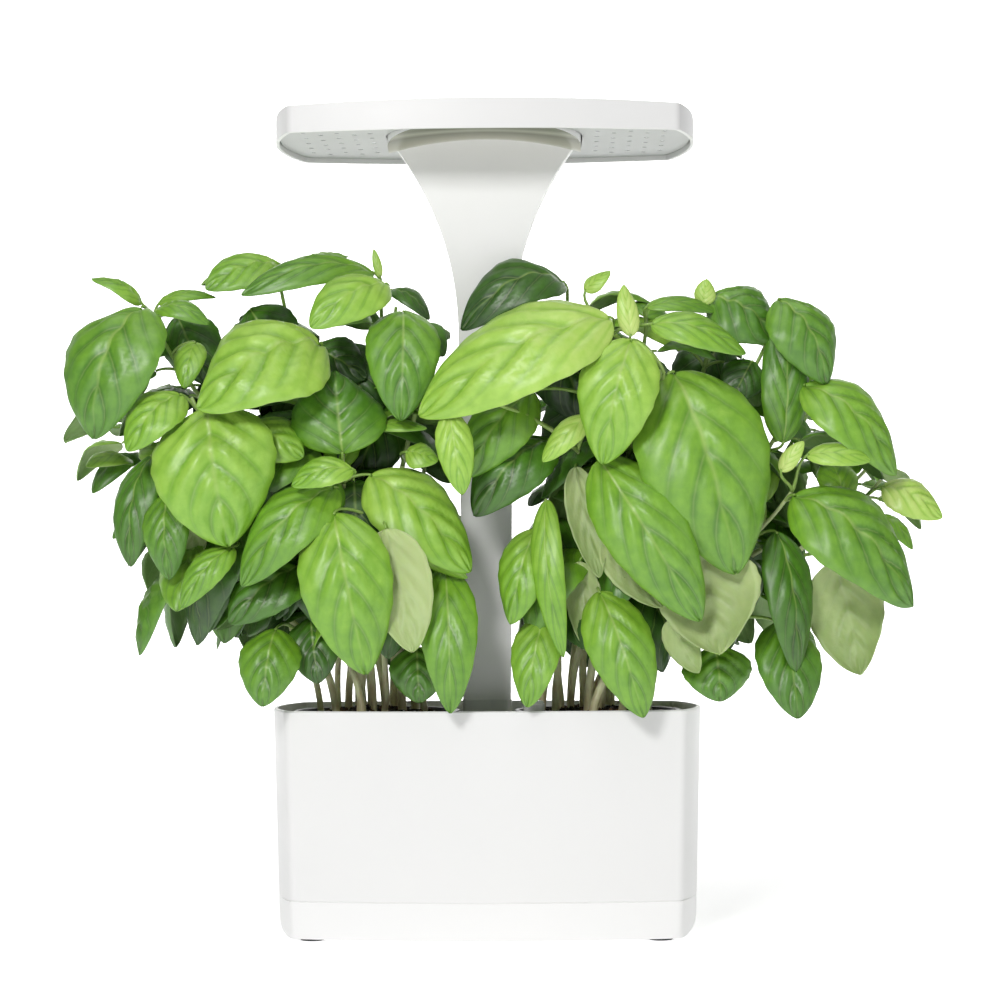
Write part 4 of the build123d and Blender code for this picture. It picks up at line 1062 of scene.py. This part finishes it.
# %% Inner leaves
def inner_sheaf(name, side, seed):
    draw = np.random.default_rng(seed)
    halves, stem_sheaf = (Sheaf(), Sheaf()), Sheaf()
    tried = made = 0
    for path in stems[name]:
        sheaf = halves[int(path[-1, 1] > 0)]
        top = path[-1, 2]
        heights = (path[:, 2] - soil_z) / 0.27
        radii = np.linspace(draw.uniform(0.0021, 0.0030), 0.0011, len(path))
        stem_sheaf.add_tube(path, radii, heights, 10)
        steps = np.linalg.norm(np.diff(path, axis=0), axis=1).cumsum()
        quarter = draw.uniform(0, math.pi)
        place = 0.070
        while place < steps[-1] + 0.001:
            k = int(min(np.searchsorted(steps, place), len(path) - 2))
            along = unit(path[k + 1] - path[k])
            flat_one = unit(np.cross(along, (0.2, 1.0, 0.1)))
            flat_two = np.cross(along, flat_one)
            youth = 1 - min((top - path[k, 2]) / 0.09, 1.0)
            for turn in (quarter, quarter + math.pi):
                outward = math.cos(turn) * flat_one + math.sin(turn) * flat_two
                outward = unit(outward + 0.25 * np.array((path[k, 0] / 0.25, path[k, 1] / 0.1, 0.0)))
                length = draw.uniform(0.056, 0.090) * (1 - 0.6 * youth)
                stalk_length = length * draw.uniform(0.22, 0.34)
                base = path[k] + stalk_length * unit(outward + 0.5 * along)
                droop = draw.uniform(0.3, 1.25) * (1 - 0.8 * youth)
                fall = np.array((0, 0, math.sin(droop)))
                tip = base + length * unit(outward * math.cos(droop) - fall + 0.3 * youth * along)
                facing = unit(np.array((0, 0, 1.0)) + 0.4 * outward + draw.normal(0, 0.18, 3))
                width = length * draw.uniform(0.64, 0.78)
                traits = draw.uniform(0.2, 0.45), draw.uniform(-0.3, 0.3), draw.uniform(0.5, 0.9)
                # lightness: a seeded tone, lighter for young leaves, and darker the further back a leaf sits,
                # which is painted shade
                light = np.clip(draw.normal(0.25, 0.13) - 1.2 * max(base[1], -0.03) + 0.35 * youth, 0.03, 0.9)
                arch = draw.uniform(0.12, 0.28)
                upper, lower, places = leaf_points(base, tip, facing, width, arch, *traits, 24, 10)
                points = np.concatenate([upper.reshape(-1, 3), lower.reshape(-1, 3)])
                tried += 1
                fits = has_room(points, side) and lifts_clear(points, side)
                if fits and points[:, 2].min() > rim_z + 0.022 and not hides_front(points):
                    sheaf.add_leaf(upper, lower, places, light)
                    first = path[k] + 0.4 * stalk_length * unit(outward + along)
                    line = curve(path[k], first, base - 0.3 * stalk_length * outward, base, 6)
                    sheaf.add_tube(line, np.linspace(0.0011, 0.0008, 6), np.linspace(0.7, 0.9, 6), 6)
                    made += 1
            place += draw.uniform(0.024, 0.034) * (1 - 0.45 * youth)
            quarter += math.pi / 2 + draw.uniform(-0.2, 0.2)
    print(name, "inner leaves", made, "of", tried)
    return *halves, stem_sheaf


for side_name, side, seed in (("left", -1, 41), ("right", 1, 42)):
    inner, back, stem_bunch = inner_sheaf(side_name, side, seed)
    herb = f"{side_name}_herb"
    leaf_finishes = [leaf_upper, leaf_under, stem_finish]
    front_piece = front[side_name][0].piece(f"{side_name}_front_leaves", herb, "herb_leaf", leaf_finishes)
    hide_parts(f"{side_name}_foliage")
    inner.piece(f"{side_name}_inner_leaves", herb, "herb_leaf", leaf_finishes)
    back.piece(f"{side_name}_back_leaves", herb, "herb_leaf", leaf_finishes)
    stem_piece = stem_bunch.piece(f"{side_name}_stem_bunch", herb, "herb_stem", leaf_finishes)
    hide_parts(f"{side_name}_stems")
